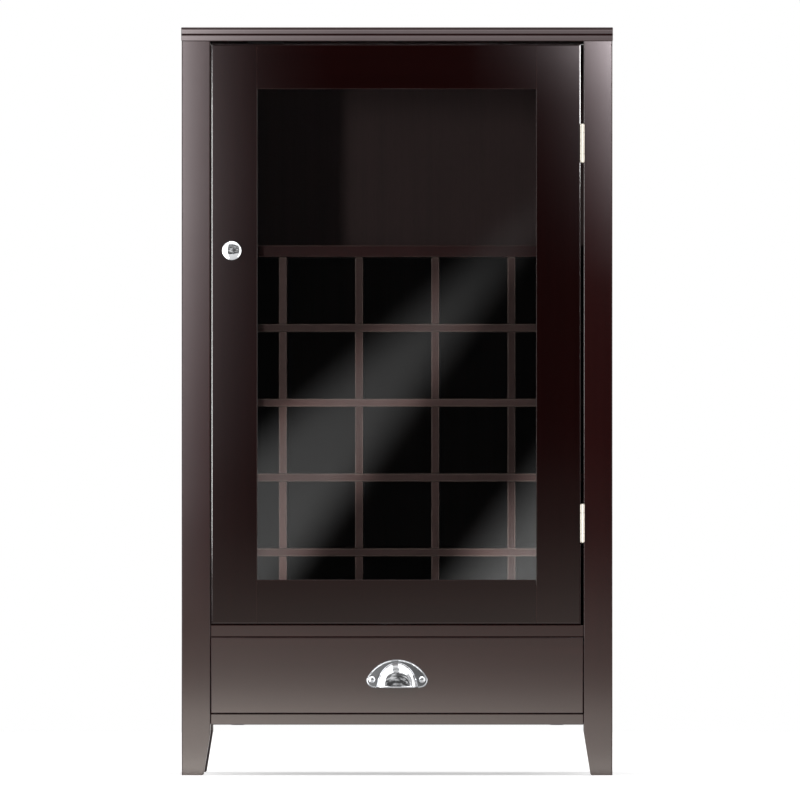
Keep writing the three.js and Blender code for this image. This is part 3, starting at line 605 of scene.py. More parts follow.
pullValues = {
    "width": 78.8, "height": 35.8, "shoulder": 10.2, "foot": 58.0, "plate": 1.6,
    "rimWidth": 1.5, "rimHeight": 0.66,
    # shares of the rim's width and height
    "rimProfile": (
        (0.05, 0.12), (0.46, 0.95), (0.5, 1.0), (0.54, 0.95), (0.96, 0.10), (1.0, 0.0), (1.25, 0.0),
    ),
    "cupWidth": 54.0, "cupHeight": 32.2, "cupReach": 22.0, "cupFullness": 2.35, "wall": 1.6,
    "lipRadius": 1.15, "lipInset": 0.35,
    "archSteps": 48, "shoulderSteps": 12, "cupSteps": 64, "cupRows": 32, "lipSteps": 16,
    "plateWeld": 0.001, "easedWidth": 0.0006, "easedSteps": 5, "easedAngle": 60, "sharpAngle": 48,
}


def makePullPlate(values):
    # drawn flat in X and Z, low edge at zero
    bm = bmesh.new()
    half, foot, shoulder = values["width"] / 2, values["foot"] / 2, values["shoulder"]
    rise = values["height"] - shoulder
    radius = (half * half + rise * rise) / (2 * rise)
    sweep = math.asin(half / radius)
    middle = (0, 0, values["height"] - radius)
    arc(bm, (half, 0, shoulder), middle, (0, 1, 0), -2 * sweep, values["archSteps"])
    for side in (1, -1):
        corner = arc(bm, (side, 0, 0), (0, 0, 0), (0, 1, 0), side * math.pi / 2, values["shoulderSteps"])
        bmesh.ops.scale(bm, vec=(half - foot, 1, shoulder), verts=corner)
        bmesh.ops.translate(bm, vec=(side * foot, 0, shoulder), verts=corner)
    weld = values["plateWeld"]
    feet = [v for side in (1, -1) for v in bm.verts if math.hypot(v.co.x - side * foot, v.co.z) < weld]
    chain(bm, [feet[0], feet[-1]])
    bmesh.ops.remove_doubles(bm, verts=bm.verts, dist=weld)
    face = bmesh.ops.contextual_create(bm, geom=bm.edges[:])["faces"][0]
    if face.normal.y > 0:
        face.normal_flip()
    back = bmesh.ops.extrude_face_region(bm, geom=[face], use_keep_orig=True)
    moved = [v for v in back["geom"] if isinstance(v, bmesh.types.BMVert)]
    bmesh.ops.translate(bm, vec=(0, values["plate"], 0), verts=moved)
    front = min(bm.faces, key=lambda f: (f.calc_center_median().y, -f.calc_area()))
    across, up = 0, 0
    for share, level in values["rimProfile"]:
        bmesh.ops.inset_region(
            bm, faces=[front], thickness=(share - across) * values["rimWidth"],
            depth=(level - up) * values["rimHeight"], use_boundary=True, use_even_offset=True,
        )
        across, up = share, level
    bmesh.ops.translate(bm, vec=(0, -values["plate"], 0), verts=bm.verts)
    return bm


def makePullCup(values):
    # a quarter of a ball, drawn out fuller than round
    bm = bmesh.new()
    arc(bm, (1, 0, 0), (0, 0, 0), (0, 1, 0), -math.pi / 2, values["cupRows"])
    bmesh.ops.spin(
        bm, geom=bm.verts[:] + bm.edges[:], cent=(0, 0, 0), axis=(0, 0, 1), angle=-math.pi,
        steps=values["cupSteps"],
    )
    bmesh.ops.remove_doubles(bm, verts=bm.verts, dist=weldDistance)
    fullness = values["cupFullness"]
    for v in bm.verts:
        spread = min(1.0, math.hypot(v.co.x, v.co.z))
        v.co.y = -((1 - spread ** fullness) ** (1 / fullness))
    bmesh.ops.scale(
        bm, vec=(values["cupWidth"] / 2, values["cupReach"], values["cupHeight"]), verts=bm.verts,
    )
    bmesh.ops.recalc_face_normals(bm, faces=bm.faces)
    if sum(f.normal.y for f in bm.faces) > 0:
        bmesh.ops.reverse_faces(bm, faces=bm.faces)
    bmesh.ops.solidify(bm, geom=bm.faces[:], thickness=values["wall"])
    bmesh.ops.recalc_face_normals(bm, faces=bm.faces)
    return bm


def makePullLip(values):
    # a round bead swept along the cup's open edge
    bm = bmesh.new()
    radius = values["lipRadius"]
    bead = bmesh.ops.create_circle(bm, cap_ends=True, segments=values["lipSteps"], radius=radius)["verts"]
    bmesh.ops.rotate(bm, cent=(0, 0, 0), matrix=Matrix.Rotation(math.pi / 2, 3, "X"), verts=bead)
    reach = values["cupWidth"] / 2 - radius * values["lipInset"]
    bmesh.ops.translate(bm, vec=(reach, 0, radius), verts=bead)
    bmesh.ops.spin(
        bm, geom=bm.faces[:], cent=(0, 0, 0), axis=(0, 0, 1), angle=-math.pi, steps=values["cupSteps"],
    )
    fullness = values["cupFullness"]
    for v in bm.verts:
        across, out = abs(v.co.x), abs(v.co.y)
        fuller = math.hypot(across, out) / (across ** fullness + out ** fullness) ** (1 / fullness)
        v.co.x *= fuller
        v.co.y *= fuller
    bmesh.ops.scale(bm, vec=(1, values["cupReach"] / (values["cupWidth"] / 2), 1), verts=bm.verts)
    bmesh.ops.recalc_face_normals(bm, faces=bm.faces)
    return bm


def makePull(values):
    low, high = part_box("drawer_pull")
    plate = makePullPlate(values)
    for part in (makePullCup(values), makePullLip(values)):
        plate.from_mesh(toMesh("pullPart", part))
    setDown(plate, plate.verts, ((low.x + high.x) / 2, high.y, low.z))
    piece = toPiece("drawer_pull_cup", plate, "drawer", chrome, values["sharpAngle"])
    roundOff(piece, values["easedWidth"], values["easedSteps"], values["easedAngle"])
    return piece


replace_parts(makePull(pullValues), "drawer_pull")
print("pull made")

# Screws. Each head is a turned dome or cone with a driver slot let in as a cross

screwValues = {
    "pull": {"radius": 4.25, "rise": 3.0, "under": 0.0, "shank": 1.6, "length": 1.5, "recess": 1.5},
    "hinge": {"radius": 2.9, "rise": 0.0, "under": 0.85, "shank": 1.55, "length": 1.0, "recess": 1.3},
    "small": {"radius": 2.6, "rise": 1.2, "under": 0.0, "shank": 1.0, "length": 0.1, "recess": 1.1},
    "nail": {"radius": 1.7, "rise": 0.3, "under": 0.0, "shank": 0.8, "length": 0.1, "recess": 0.0},
    "steps": 32, "domeSteps": 9, "coneRim": 0.06, "slotWidth": 0.55, "slotDepth": 0.75,
    "pullProud": 0.1, "firstTurn": 23, "nextTurn": 41, "weld": 0.000001, "sharpAngle": 35,
}


def screwHead(kind):
    # axis along Y, seat of the head at zero, head towards -Y
    values = screwValues[kind]
    radius, seat = values["radius"], -values["under"]
    shank, tip = values["shank"], seat - values["length"]
    profile = [(0, tip), (shank, tip), (shank, seat)]
    if values["under"]:
        profile += [(radius, -screwValues["coneRim"]), (radius, 0.0), (0, 0.0)]
    else:
        profile += curve((radius, 0.0), (0, values["rise"]), "second", screwValues["domeSteps"])
    mesh = toMesh("screwHead", lathe(profile, screwValues["steps"]))
    if not values["recess"]:
        return mesh
    head = addObject("screwHead", mesh)
    cross = bmesh.new()
    for turn in (0, math.pi / 2):
        made = bmesh.ops.create_cube(cross, size=1)["verts"]
        size = (screwValues["slotWidth"], screwValues["slotDepth"] * 2, values["recess"] * 2)
        bmesh.ops.scale(cross, vec=size, verts=made)
        bmesh.ops.rotate(cross, cent=(0, 0, 0), matrix=Matrix.Rotation(turn, 3, "Y"), verts=made)
    bmesh.ops.translate(cross, vec=(0, -values["rise"], 0), verts=cross.verts)
    cutter = addObject("cross", toMesh("cross", cross))
    carve = head.modifiers.new("slot", "BOOLEAN")
    carve.object = cutter
    carve.operation = "DIFFERENCE"
    carve.solver = "EXACT"
    carve.use_self = True
    graph = bpy.context.evaluated_depsgraph_get()
    cut = bpy.data.meshes.new_from_object(head.evaluated_get(graph))
    for spent in (head, cutter):
        bpy.data.objects.remove(spent)
    return cut


screwHeads = {kind: screwHead(kind) for kind in ("pull", "hinge", "small", "nail")}
towardsRoom = Vector((0, -1, 0))


def makeScrews(name, kind, places, facing, body, material):
    # one mesh of several screws, each at a place and looking along facing
    bm = bmesh.new()
    turn = towardsRoom.rotation_difference(Vector(facing)).to_matrix()
    for i, place in enumerate(places):
        own = Matrix.Rotation(math.radians(screwValues["firstTurn"] + screwValues["nextTurn"] * i), 3, "Y")
        stamp(bm, screwHeads[kind], turn @ own, place)
    bmesh.ops.remove_doubles(bm, verts=bm.verts, dist=screwValues["weld"])
    return toPiece(name, bm, body, material, screwValues["sharpAngle"])


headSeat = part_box("drawer_pull")[1].y - (pullValues["plate"] + screwValues["pullProud"]) * millimetre
for side in ("left", "right"):
    low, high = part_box("pull_screw_" + side)
    spot = ((low.x + high.x) / 2, headSeat, (low.z + high.z) / 2)
    screw = makeScrews("pull_screw_head_" + side, "pull", [spot], (0, -1, 0), "drawer", chrome)
    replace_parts(screw, "pull_screw_" + side)

hingeValues = {"holePitch": 0.017, "holeBack": 0.0124, "stagger": 0.0035, "leafGap": 0.0009}
for level in ("lower", "upper"):
    for owner, sign, body in (("frame", 1, "cabinet"), ("door", -1, "door")):
        low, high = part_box(f"hinge_{level}_{owner}_leaf")
        pinLow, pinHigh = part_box(f"hinge_{level}_pin")
        middle = (pinLow + pinHigh) / 2
        face = middle.x + sign * hingeValues["leafGap"] / 2
        places = []
        for step in (-1, 0, 1):
            stagger = 0 if step else hingeValues["stagger"]  # the middle hole stands nearer the pin
            back = middle.y + hingeValues["holeBack"] - stagger
            places.append((face, back, middle.z + step * hingeValues["holePitch"]))
        name = f"hinge_screws_{level}_{owner}"
        makeScrews(name, "hinge", places, (-sign, 0, 0), body, nickel)


def onFace(node, facing, shares, lift=0.0):
    # places on one face of a node's box, as shares of the box along its two other axes
    low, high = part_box(node)
    normal = next(axis for axis in range(3) if facing[axis])
    flat = [axis for axis in range(3) if axis != normal]
    places = []
    for pair in shares:
        place = list(high if facing[normal] > 0 else low)
        place[normal] += facing[normal] * lift
        for axis, share in zip(flat, pair):
            place[axis] = low[axis] + (high[axis] - low[axis]) * share
        places.append(tuple(place))
    return places


fixedBoards = ("upper_shelf", "deck_panel", "bottom_panel")
fixingValues = {
    "strikeShares": ((0.2, 0.5), (0.8, 0.5)), "catchShares": ((0.09, 0.5), (0.91, 0.5)),
    "runnerShares": ((0.08, 0.5), (0.5, 0.5), (0.92, 0.5)), "runnerLift": 0.00002,
    "nailCount": 7, "nailInset": 0.02,
}
makeScrews("strike_screws", "small", onFace("strike_plate", (0, 1, 0), fixingValues["strikeShares"]),
           (0, 1, 0), "door", steel)
makeScrews("catch_screws", "small", onFace("catch_body", (0, 0, -1), fixingValues["catchShares"]),
           (0, 0, -1), "cabinet", steel)
for side, inward in (("left", 1), ("right", -1)):
    facing, shares = (inward, 0, 0), fixingValues["runnerShares"]
    places = onFace("drawer_runner_" + side, facing, shares, fixingValues["runnerLift"])
    makeScrews("runner_screws_" + side, "hinge", places, facing, "cabinet", steel)


def nailPlaces(values):
    # a row into the rear edge of each board that the back lies on
    low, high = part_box("back_panel")
    reach = (high.x - low.x) / 2 - values["nailInset"]
    places = []
    for board in fixedBoards:
        level = sum(corner.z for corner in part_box(board)) / 2
        for i in range(values["nailCount"]):
            places.append((reach * (2 * i / (values["nailCount"] - 1) - 1), high.y, level))
    return places


makeScrews("back_nails", "nail", nailPlaces(fixingValues), (0, 1, 0), "cabinet", steel)
print("screws and nails made")

# Plastic caps over the cam bolts, under the ends of the boards

capValues = {
    "radius": 8.5, "rise": 0.8, "edge": 0.4, "seat": 0.1, "fromEnd": 0.034, "fromFront": 0.05,
    "steps": 40, "sharpAngle": 30,
}


def makeCaps(values):
    radius, rise, edge, seat = values["radius"], values["rise"], values["edge"], values["seat"]
    profile = [(0, -seat), (radius, -seat), (radius, rise - edge), (radius - edge, rise), (0, rise)]
    cap = toMesh("cap", lathe(profile, values["steps"]))
    turn = towardsRoom.rotation_difference(Vector((0, 0, -1))).to_matrix()
    bm = bmesh.new()
    for board in fixedBoards:
        low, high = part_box(board)
        for x in (low.x + values["fromEnd"], high.x - values["fromEnd"]):
            for y in (low.y + values["fromFront"], high.y - values["fromFront"]):
                stamp(bm, cap, turn, (x, y, low.z))
    return toPiece("cam_bolt_caps", bm, "cabinet", capPlastic, values["sharpAngle"])


makeCaps(capValues)
print("caps made")

# Stage: camera, floor, flag and world

cameraValues = {
    "distance": 40.0, "frameWidth": 1.0186, "aimX": 0.00376, "aimZ": 0.4779, "fromRight": 0.18,
    "sensor": 36.0, "clip": (1.0, 200.0),
}


def aimAt(item, place, aim):
    item.location = place
    item.rotation_euler = (Vector(aim) - item.location).to_track_quat("-Z", "Y").to_euler()


def makeCamera(values):
    data = bpy.data.cameras.new("camera")
    data.sensor_width = values["sensor"]
    data.lens = values["sensor"] * values["distance"] / values["frameWidth"]
    data.clip_start, data.clip_end = values["clip"]
    camera = addObject("camera", data)
    aim = Vector((values["aimX"], frontFace, values["aimZ"]))
    aimAt(camera, aim + Vector((values["fromRight"], -values["distance"], 0)), aim)
    bpy.context.scene.camera = camera


floorValues = {
    "radius": 5.0, "sides": 128, "colour": (0.86, 0.86, 0.86, 1), "cloud": (0.80, 0.80, 0.80, 1),
    "cloudScale": 3.0, "cloudRange": (0.3, 0.7, 0.97, 1.0), "rough": 0.9, "shine": 0.1, "cameraLift": 0.46,
}


def makeFloor(values):
    bm = bmesh.new()
    bmesh.ops.create_circle(bm, cap_ends=True, segments=values["sides"], radius=values["radius"])
    floor = addObject("floor", toMesh("floor", bm))
    material, tree, shader, place = newMaterial("paleFloor")
    shade = mapRange(tree, noise(tree, place, values["cloudScale"]), *values["cloudRange"])
    seen = addNode(tree, "ShaderNodeLightPath").outputs["Is Camera Ray"]  # which alone sees it white
    feed(tree, shader, {
        "Base Color": mixColours(tree, shade, values["cloud"], values["colour"]),
        "Roughness": values["rough"], "Specular IOR Level": values["shine"],
        "Emission Color": (1, 1, 1, 1), "Emission Strength": times(tree, seen, values["cameraLift"]),
    })
    material.cycles.emission_sampling = "NONE"
    floor.data.materials.append(material)


flagValues = {
    "y": -1.3, "width": 8.0, "height": 1.0,
    "cloth": {**plasticBase, "colour": (0.003, 0.003, 0.003, 1), "rough": 0.9, "grit": 200.0},
}


def makeFlag(values):
    # a dark screen far in front, seen in reflections only
    bm = bmesh.new()
    bmesh.ops.create_grid(bm, x_segments=1, y_segments=1, size=0.5)
    bmesh.ops.scale(bm, vec=(values["width"], values["height"], 1), verts=bm.verts)
    bmesh.ops.rotate(bm, cent=(0, 0, 0), matrix=Matrix.Rotation(math.pi / 2, 3, "X"), verts=bm.verts)
    bmesh.ops.translate(bm, vec=(0, values["y"], values["height"] / 2), verts=bm.verts)
    flag = addObject("flag", toMesh("flag", bm))
    flag.data.materials.append(plasticFinish("flagCloth", values["cloth"]))
    flag.visible_camera = flag.visible_diffuse = flag.visible_shadow = flag.visible_transmission = False


worldValues = {
    "diffuse": 0.80, "behind": 1.0, "front": 0.003, "sideEdge": 0.35, "topEdge": -0.25, "softness": 0.1,
}


def makeWorld(values):
    # white to the camera; in reflections it is white behind and dark in front, with a soft edge
    world = bpy.data.worlds.new("studio")
    bpy.context.scene.world = world
    world.cycles.sampling_method = "NONE"
    world.use_nodes = True
    tree = world.node_tree
    tree.nodes.clear()
    direction = addNode(tree, "ShaderNodeTexCoord").outputs["Generated"]
    y, z = addNode(tree, "ShaderNodeSeparateXYZ", {0: direction}).outputs[1:]
    edge = mapRange(tree, z, 0.0, 1.0, values["sideEdge"], values["topEdge"])
    facing = minus(tree, times(tree, y, -1.0), edge)  # above 0 in the dark part
    dark = mapRange(tree, facing, -values["softness"], values["softness"], smooth=True)
    gloss = mixValues(tree, dark, values["behind"], values["front"])
    rays = addNode(tree, "ShaderNodeLightPath").outputs
    straight = calc(tree, "LESS_THAN", rays["Glossy Depth"], 0.5)  # through the pane, not off its back face
    through = times(tree, rays["Is Transmission Ray"], straight)
    plain = calc(tree, "MAXIMUM", rays["Is Camera Ray"], through)
    shiny = calc(tree, "MAXIMUM", rays["Is Glossy Ray"], rays["Is Transmission Ray"])
    lit = mixValues(tree, shiny, values["diffuse"], gloss)
    strength = mixValues(tree, plain, lit, 1.0)
    background = addNode(tree, "ShaderNodeBackground", {"Color": (1, 1, 1, 1), "Strength": strength})
    addNode(tree, "ShaderNodeOutputWorld", {"Surface": background.outputs[0]})


# Lamps, each as name, place, aim, width, height and radiance

lampValues = (
    ("sideLeft", (-1.7, -0.35, 0.75), (0, 0, 0.6), 1.1, 1.5, 1.6),
    ("sideRight", (1.7, -0.25, 0.75), (0, 0, 0.6), 0.9, 1.5, 1.3),
    ("overhead", (0, -0.1, 2.3), (0, 0, 0.9), 1.4, 1.4, 1.0),
)
insideLamp = ("insideKey", (-1.40, -4.2, 0.95), (0, 0, 0.7), 0.22, 0.9, 90.0)
edgeLamps = (
    # the node that shines, then its lamp
    ("door_stile_left", ("edgeLeft", (-1.5, -0.4, 0.60), (0, -0.4, 0.60), 3.4, 0.62, 44.0)),
    ("door_stile_right", ("edgeRight", (1.5, -0.4, 1.12), (0, -0.4, 1.12), 3.4, 0.66, 66.0)),
    ("leg_front_right", ("edgeLeg", (-1.5, -0.4, 0.92), (0, -0.4, 0.92), 3.4, 1.0, 5.0)),
)
chromeWalls = (
    # a white tent round the chrome: the pieces that shine, then side walls and tops
    ("bright", ("wallLeft", (-0.45, -0.355, 0.60), (0, -0.355, 0.60), 0.37, 1.3, 1.35)),
    ("knob", ("wallRight", (0.42, -0.32, 0.60), (0, -0.32, 0.60), 0.32, 1.3, 1.15)),
    ("pull", ("wallPull", (0.42, -0.32, 0.24), (0, -0.32, 0.24), 0.32, 0.58, 0.34)),
    ("pull", ("wallPullTop", (0.42, -0.32, 0.89), (0, -0.32, 0.89), 0.32, 0.72, 1.1)),
    ("knob", ("wallTop", (0.0, -0.38, 1.25), (0, -0.38, 0), 0.88, 0.42, 1.35)),
    ("pull", ("topLeft", (-0.82, -0.62, 1.22), (-0.82, -0.62, 0), 0.90, 1.15, 1.3)),
    ("pull", ("topNeck", (-0.09, -0.38, 1.22), (-0.09, -0.38, 0), 0.54, 1.64, 0.30)),
    ("pull", ("topRight", (0.69, -0.62, 1.22), (0.69, -0.62, 0), 1.0, 1.15, 1.2)),
    # strips close round the cup of the pull, over it and beside it
    ("pull", ("cupOverLeft", (-0.027, -0.1876, 0.1505), (-0.027, -0.1876, 0), 0.036, 0.019, 1.15)),
    ("pull", ("cupOverNeck", (-0.0035, -0.1876, 0.1505), (-0.0035, -0.1876, 0), 0.011, 0.019, 0.25)),
    ("pull", ("cupOverRight", (0.0235, -0.1876, 0.1505), (0.0235, -0.1876, 0), 0.043, 0.019, 1.15)),
    ("pull", ("cupLeft", (-0.0425, -0.1876, 0.130), (0, -0.1876, 0.130), 0.019, 0.042, 1.15)),
    ("pull", ("cupRight", (0.0425, -0.1876, 0.130), (0, -0.1876, 0.130), 0.019, 0.042, 0.36)),
    ("pull", ("cupCornerLeft", (-0.0295, -0.1876, 0.1415), (0, -0.1876, 0.112), 0.019, 0.018, 1.1)),
    ("pull", ("cupCornerRight", (0.0295, -0.1876, 0.1415), (0, -0.1876, 0.112), 0.019, 0.018, 0.9)),
)


def sheetLight(name, width, height, radiance):
    data = bpy.data.lights.new(name, "AREA")
    data.shape = "RECTANGLE"
    data.size, data.size_y = width, height
    data.energy = radiance * width * height * 4  # radiance is power over four times the area
    return data


def makeLamp(name, place, aim, width, height, radiance, receivers=None):
    lamp = addObject(name, sheetLight(name, width, height, radiance))
    aimAt(lamp, place, aim)
    lamp.visible_camera = False
    if receivers:
        lamp.light_linking.receiver_collection = receivers
    return lamp


# Cards: glowing sheets in front of the cabinet that shine in the chosen pieces alone. x starts at the
# strongest side, fall is the length over which it falls by e, and stops are pairs of height and strength

lowTint, leftTint, rightTint = (1.08, 1.0, 0.92), (1.10, 1.0, 1.02), (1.10, 1.0, 1.04)
lacquerCards = {
    "leftSheet": {
        "x": (-0.32, -0.10), "fall": 0.034, "z": (0.20, 1.10), "y": -0.505, "tint": leftTint,
        "stops": ((0.20, 0.3), (0.26, 1.2), (0.30, 1.9), (0.35, 3.0), (0.478, 4.8), (0.605, 7.1),
                  (0.733, 9.9), (0.911, 11.2), (1.10, 12.0)),
    },
    "rightSheet": {
        "x": (0.32, 0.10), "fall": 0.034, "z": (0.55, 1.10), "y": -0.50, "tint": rightTint,
        "stops": ((0.55, 0.0), (0.63, 0.1), (0.70, 1.3), (0.76, 3.4), (0.8345, 7.9), (0.87, 11.6),
                  (0.911, 20.0), (0.95, 28.0), (1.10, 33.0)),
    },
    "lowSheet": {
        "x": (-0.45, 0.45), "fall": 1.3, "z": (0.0, 0.42), "y": -0.50, "tint": lowTint,
        "stops": ((0.0, 9.6), (0.010, 3.3), (0.03, 2.75), (0.07, 2.35), (0.085, 1.9), (0.11, 1.2),
                  (0.14, 0.84), (0.18, 0.64), (0.24, 0.34), (0.31, 0.10), (0.42, 0.0)),
    },
}
doorCards = {
    "doorSheet": {
        "x": (0.45, -0.45), "fall": 0.5, "z": (0.14, 0.46), "y": -0.52, "tint": lowTint,
        "stops": ((0.14, 0.9), (0.20, 0.76), (0.24, 0.52), (0.325, 0.21), (0.40, 0.05), (0.46, 0.0)),
    },
    "doorLeft": {
        "x": (-0.32, -0.10), "fall": 0.06, "z": (0.36, 1.0), "y": -0.54, "tint": leftTint,
        "stops": ((0.36, 0.0), (0.42, 0.7), (0.478, 0.95), (0.62, 1.1), (0.78, 1.1), (0.90, 0.3),
                  (1.0, 0.0)),
    },
    "doorRight": {
        "x": (0.32, 0.10), "fall": 0.034, "z": (0.80, 1.00), "y": -0.53, "tint": rightTint,
        "stops": ((0.80, 0.0), (0.86, 0.8), (0.90, 10.0), (0.924, 26.0), (1.0, 42.0)),
    },
}
crownCards = {
    "crownSheet": {
        "x": (-0.45, 0.45), "fall": 2.5, "z": (0.80, 1.30), "y": -0.50, "tint": leftTint,
        "stops": ((0.80, 1.55), (0.96, 1.7), (1.0, 2.75), (1.04, 2.8), (1.07, 1.6), (1.12, 0.5),
                  (1.30, 0.0)),
    },
    "crownLeft": {
        "x": (-0.31, -0.08), "fall": 0.062, "z": (0.80, 1.30), "y": -0.51, "tint": leftTint,
        "stops": ((0.80, 4.7), (1.0, 5.2), (1.10, 2.4), (1.16, 1.2), (1.30, 0.0)),
    },
}
hingeCards = {
    "hingeSheet": {
        "x": (-0.10, 0.60), "fall": 0.0, "z": (0.10, 1.10), "y": -0.60, "tint": (1, 1, 1),
        "stops": ((0.10, 1.25), (1.10, 1.25)),
    },
}
chromeCards = {
    "chromeFront": {
        "x": (-2.4, 2.4), "fall": 0.0, "z": (0.0, 2.2), "y": -1.2, "tint": (1, 1, 1),
        "stops": ((0.0, 0.10), (2.2, 0.10)),
        "mottle": 6.5, "stretch": (1.0, 1.8, 1.0), "shift": (0.43, 0.31, 0.0),
        "patchRange": (0.46, 0.64, 0.30, 6.5),
        # what the pull's flat plate shows
        "plate": {"height": 0.128, "halfWidth": 0.08, "halfHeight": 0.05, "softEdge": (0.7, 1.3),
                  "toneEdge": 0.04, "left": 1.7, "right": 0.6},
    },
}


def sheetNodes(data):
    # a sheet's own nodes, with how far across and up it a point lies, each from 0 to 1
    data.use_nodes = True
    tree = data.node_tree
    where = addNode(tree, "ShaderNodeNewGeometry").outputs["Parametric"]
    across, up = addNode(tree, "ShaderNodeSeparateXYZ", {0: where}).outputs[:2]
    return tree, ownNode(tree, "EMISSION"), where, across, up


def mottled(tree, values, data, where, across, up):
    # pale patches all over, but a plain tone where the pull's plate looks, from left to right
    drawn = vectorCalc(tree, "ADD", vectorCalc(tree, "MULTIPLY", where, values["stretch"]), values["shift"])
    patches = mapRange(tree, noise(tree, drawn, values["mottle"], 3.0, 0.6), *values["patchRange"])
    plate = values["plate"]
    level = (plate["height"] - values["z"][0]) / data.size_y
    aside = times(tree, minus(tree, across, 0.5), data.size)
    above = times(tree, minus(tree, up, level), data.size_y)
    off = calc(
        tree, "MAXIMUM",
        calc(tree, "DIVIDE", calc(tree, "ABSOLUTE", aside), plate["halfWidth"]),
        calc(tree, "DIVIDE", calc(tree, "ABSOLUTE", above), plate["halfHeight"]),
    )
    tone = mapRange(tree, aside, -plate["toneEdge"], plate["toneEdge"], plate["left"], plate["right"])
    inPlate = mapRange(tree, off, *plate["softEdge"], 1.0, 0.0, True)
    return mixValues(tree, inPlate, patches, tone)


def placeCard(name, data, place, receivers):
    card = addObject(name, data)
    card.location = place
    card.rotation_euler = (math.pi / 2, 0, 0)
    card.visible_camera = card.visible_diffuse = False
    card.light_linking.receiver_collection = receivers
    return card


def makeCard(name, values, receivers):
    xLow, xHigh = sorted(values["x"])
    zLow, zHigh = values["z"]
    stops = values["stops"]
    most = max(level for height, level in stops)
    data = sheetLight(name, xHigh - xLow, zHigh - zLow, most)
    data.color = values["tint"]
    tree, shader, where, across, up = sheetNodes(data)
    ramp = addNode(tree, "ShaderNodeValToRGB", {0: up})
    while len(ramp.color_ramp.elements) < len(stops):
        ramp.color_ramp.elements.new(0.5)
    for element, (height, level) in zip(ramp.color_ramp.elements, stops):
        element.position = (height - zLow) / data.size_y
        element.color = (level / most,) * 3 + (1,)
    strength = ramp.outputs[0]
    if values["fall"]:
        inward = across if values["x"][0] < values["x"][1] else minus(tree, 1.0, across)
        fade = calc(tree, "POWER", math.exp(-data.size / values["fall"]), inward)
        strength = times(tree, strength, fade)
    if "mottle" in values:
        strength = times(tree, strength, mottled(tree, values, data, where, across, up))
    feed(tree, shader, {"Strength": strength})
    placeCard(name, data, ((xLow + xHigh) / 2, values["y"], (zLow + zHigh) / 2), receivers)


# Slanting shafts of window light: a card seen as streaks in the pane, and a beam on the rack behind it

windowValues = {
    "centre": (0.0, 0.56), "width": 0.40, "height": 0.68,
    "card": {"y": -1.0, "strength": 0.60, "sharpness": 1.0},
    "beam": {"y": -0.30, "strength": 1.6, "sharpness": 2.0, "spread": 4.0},
    "shafts": (
        # edges as a point and the line's angle, then strengths at two heights
        {"under": ((-0.178, 0.465), 40.5), "over": ((-0.104, 0.255), 54.8), "soft": 0.07,
         "low": (0.25, 1.0), "high": (0.74, 0.20)},
        {"under": ((0.038, 0.255), 53.0), "soft": 0.10, "low": (0.25, 1.75), "high": (0.5, 0.65)},
    ),
}


def makeShafts(name, values, sheet, receivers):
    width, height = values["width"], values["height"]
    middleX, middleZ = values["centre"]
    data = sheetLight(name, width, height, sheet["strength"])
    tree, shader, where, across, up = sheetNodes(data)
    x = plus(tree, times(tree, across, width), middleX - width / 2)
    z = plus(tree, times(tree, up, height), middleZ - height / 2)

    def beyond(point, angle, soft, side):
        # how far a point lies to one side of a slanting line, as a soft step
        run, rise = math.cos(math.radians(angle)), math.sin(math.radians(angle))
        off = minus(
            tree,
            times(tree, minus(tree, z, point[1]), run),
            times(tree, minus(tree, x, point[0]), rise),
        )
        return mapRange(tree, times(tree, off, side), 0.0, soft / sheet["sharpness"], smooth=True)

    shafts = []
    for shaft in values["shafts"]:
        mask = beyond(*shaft["under"], shaft["soft"], -1.0)
        if "over" in shaft:
            mask = times(tree, mask, beyond(*shaft["over"], shaft["soft"], 1.0))
        fade = mapRange(tree, z, shaft["low"][0], shaft["high"][0], shaft["low"][1], shaft["high"][1])
        shafts.append(times(tree, mask, fade))
    feed(tree, shader, {"Strength": plus(tree, *shafts)})
    return placeCard(name, data, (middleX, sheet["y"], middleZ), receivers)


# The stage is set in this order, with the pieces that each lamp and card shines in

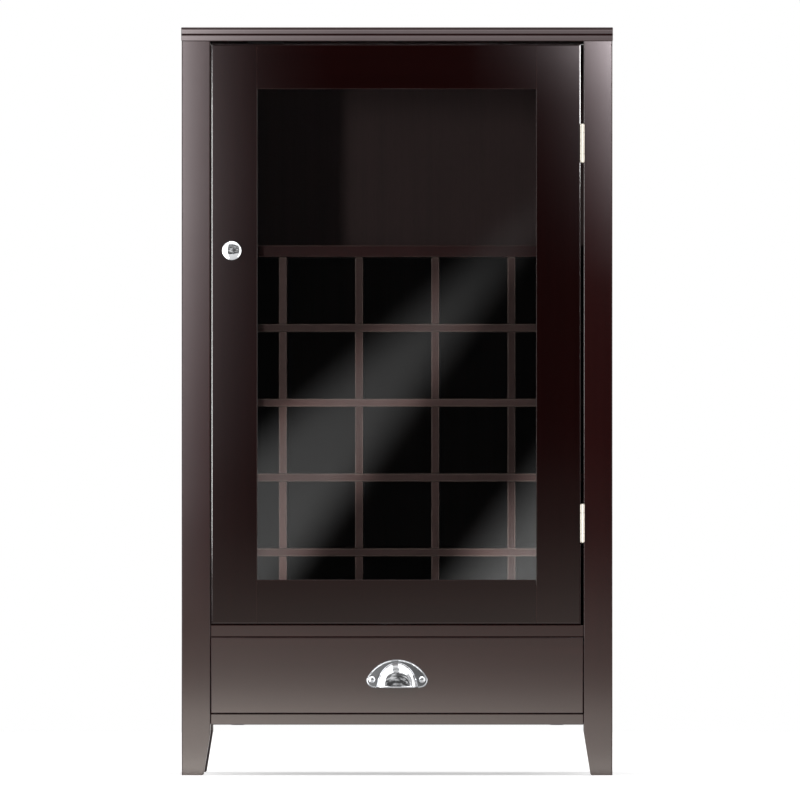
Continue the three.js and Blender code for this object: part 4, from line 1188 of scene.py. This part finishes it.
def gather(name, members):
    group = bpy.data.collections.new(name)
    for member in members:
        group.objects.link(member)
    return group


def gatherNodes(name, *starts):
    return gather(name, [nodes[node] for node in nodes if node.startswith(starts)])


makeCamera(cameraValues)
makeFloor(floorValues)
makeFlag(flagValues)
makeWorld(worldValues)
faces = gather("faces", [
    nodes[name] for sets in woods.values() for values, names in sets for name in names
    if values in (lacquerLeg, paintedShadeDoorLacquer, lacquerFront) and name != "top_panel"
])
chromePieces = ("door_knob_turned", "drawer_pull_cup", "pull_screw_head_left", "pull_screw_head_right")
bright = gather("bright", [bpy.data.objects[name] for name in chromePieces])
shiny = {
    "bright": bright,
    "knob": gather("knob", [piece for piece in bright.objects if "knob" in piece.name]),
    "pull": gather("pull", [piece for piece in bright.objects if "pull" in piece.name]),
}
# lamps add up along a ray, so two of these stay off the pull, which has its own tent
butPull = gather("butPull", [
    piece for piece in bpy.context.scene.objects
    if piece.type == "MESH" and piece.name not in shiny["pull"].objects
])
for lamp in lampValues:
    makeLamp(*lamp, None if lamp[0] == "sideLeft" else butPull)
cardSets = (
    (lacquerCards, faces), (crownCards, gatherNodes("crown", "top_panel")),
    (doorCards, gatherNodes("doorFrame", "door_stile", "door_rail")),
    (hingeCards, gatherNodes("hinges", "hinge_")), (chromeCards, bright),
)
for sheets, receivers in cardSets:
    for name, values in sheets.items():
        makeCard(name, values, receivers)
for receivers, wall in chromeWalls:
    makeLamp(*wall, shiny[receivers]).visible_diffuse = False
makeLamp(*insideLamp, gatherNodes("inside", "rack_", "upper_", "back_", "side_"))
for receiver, lamp in edgeLamps:
    makeLamp(*lamp, gatherNodes(lamp[0], receiver)).visible_diffuse = False
makeShafts("windowCard", windowValues, windowValues["card"], gatherNodes("pane", "door_glass"))
beam = makeShafts("rackBeam", windowValues, windowValues["beam"], gatherNodes("rack", "rack_"))
beam.data.spread = math.radians(windowValues["beam"]["spread"])
beam.visible_glossy, beam.visible_diffuse = False, True
bpy.context.scene.view_settings.view_transform = "Standard"
print("stage set")
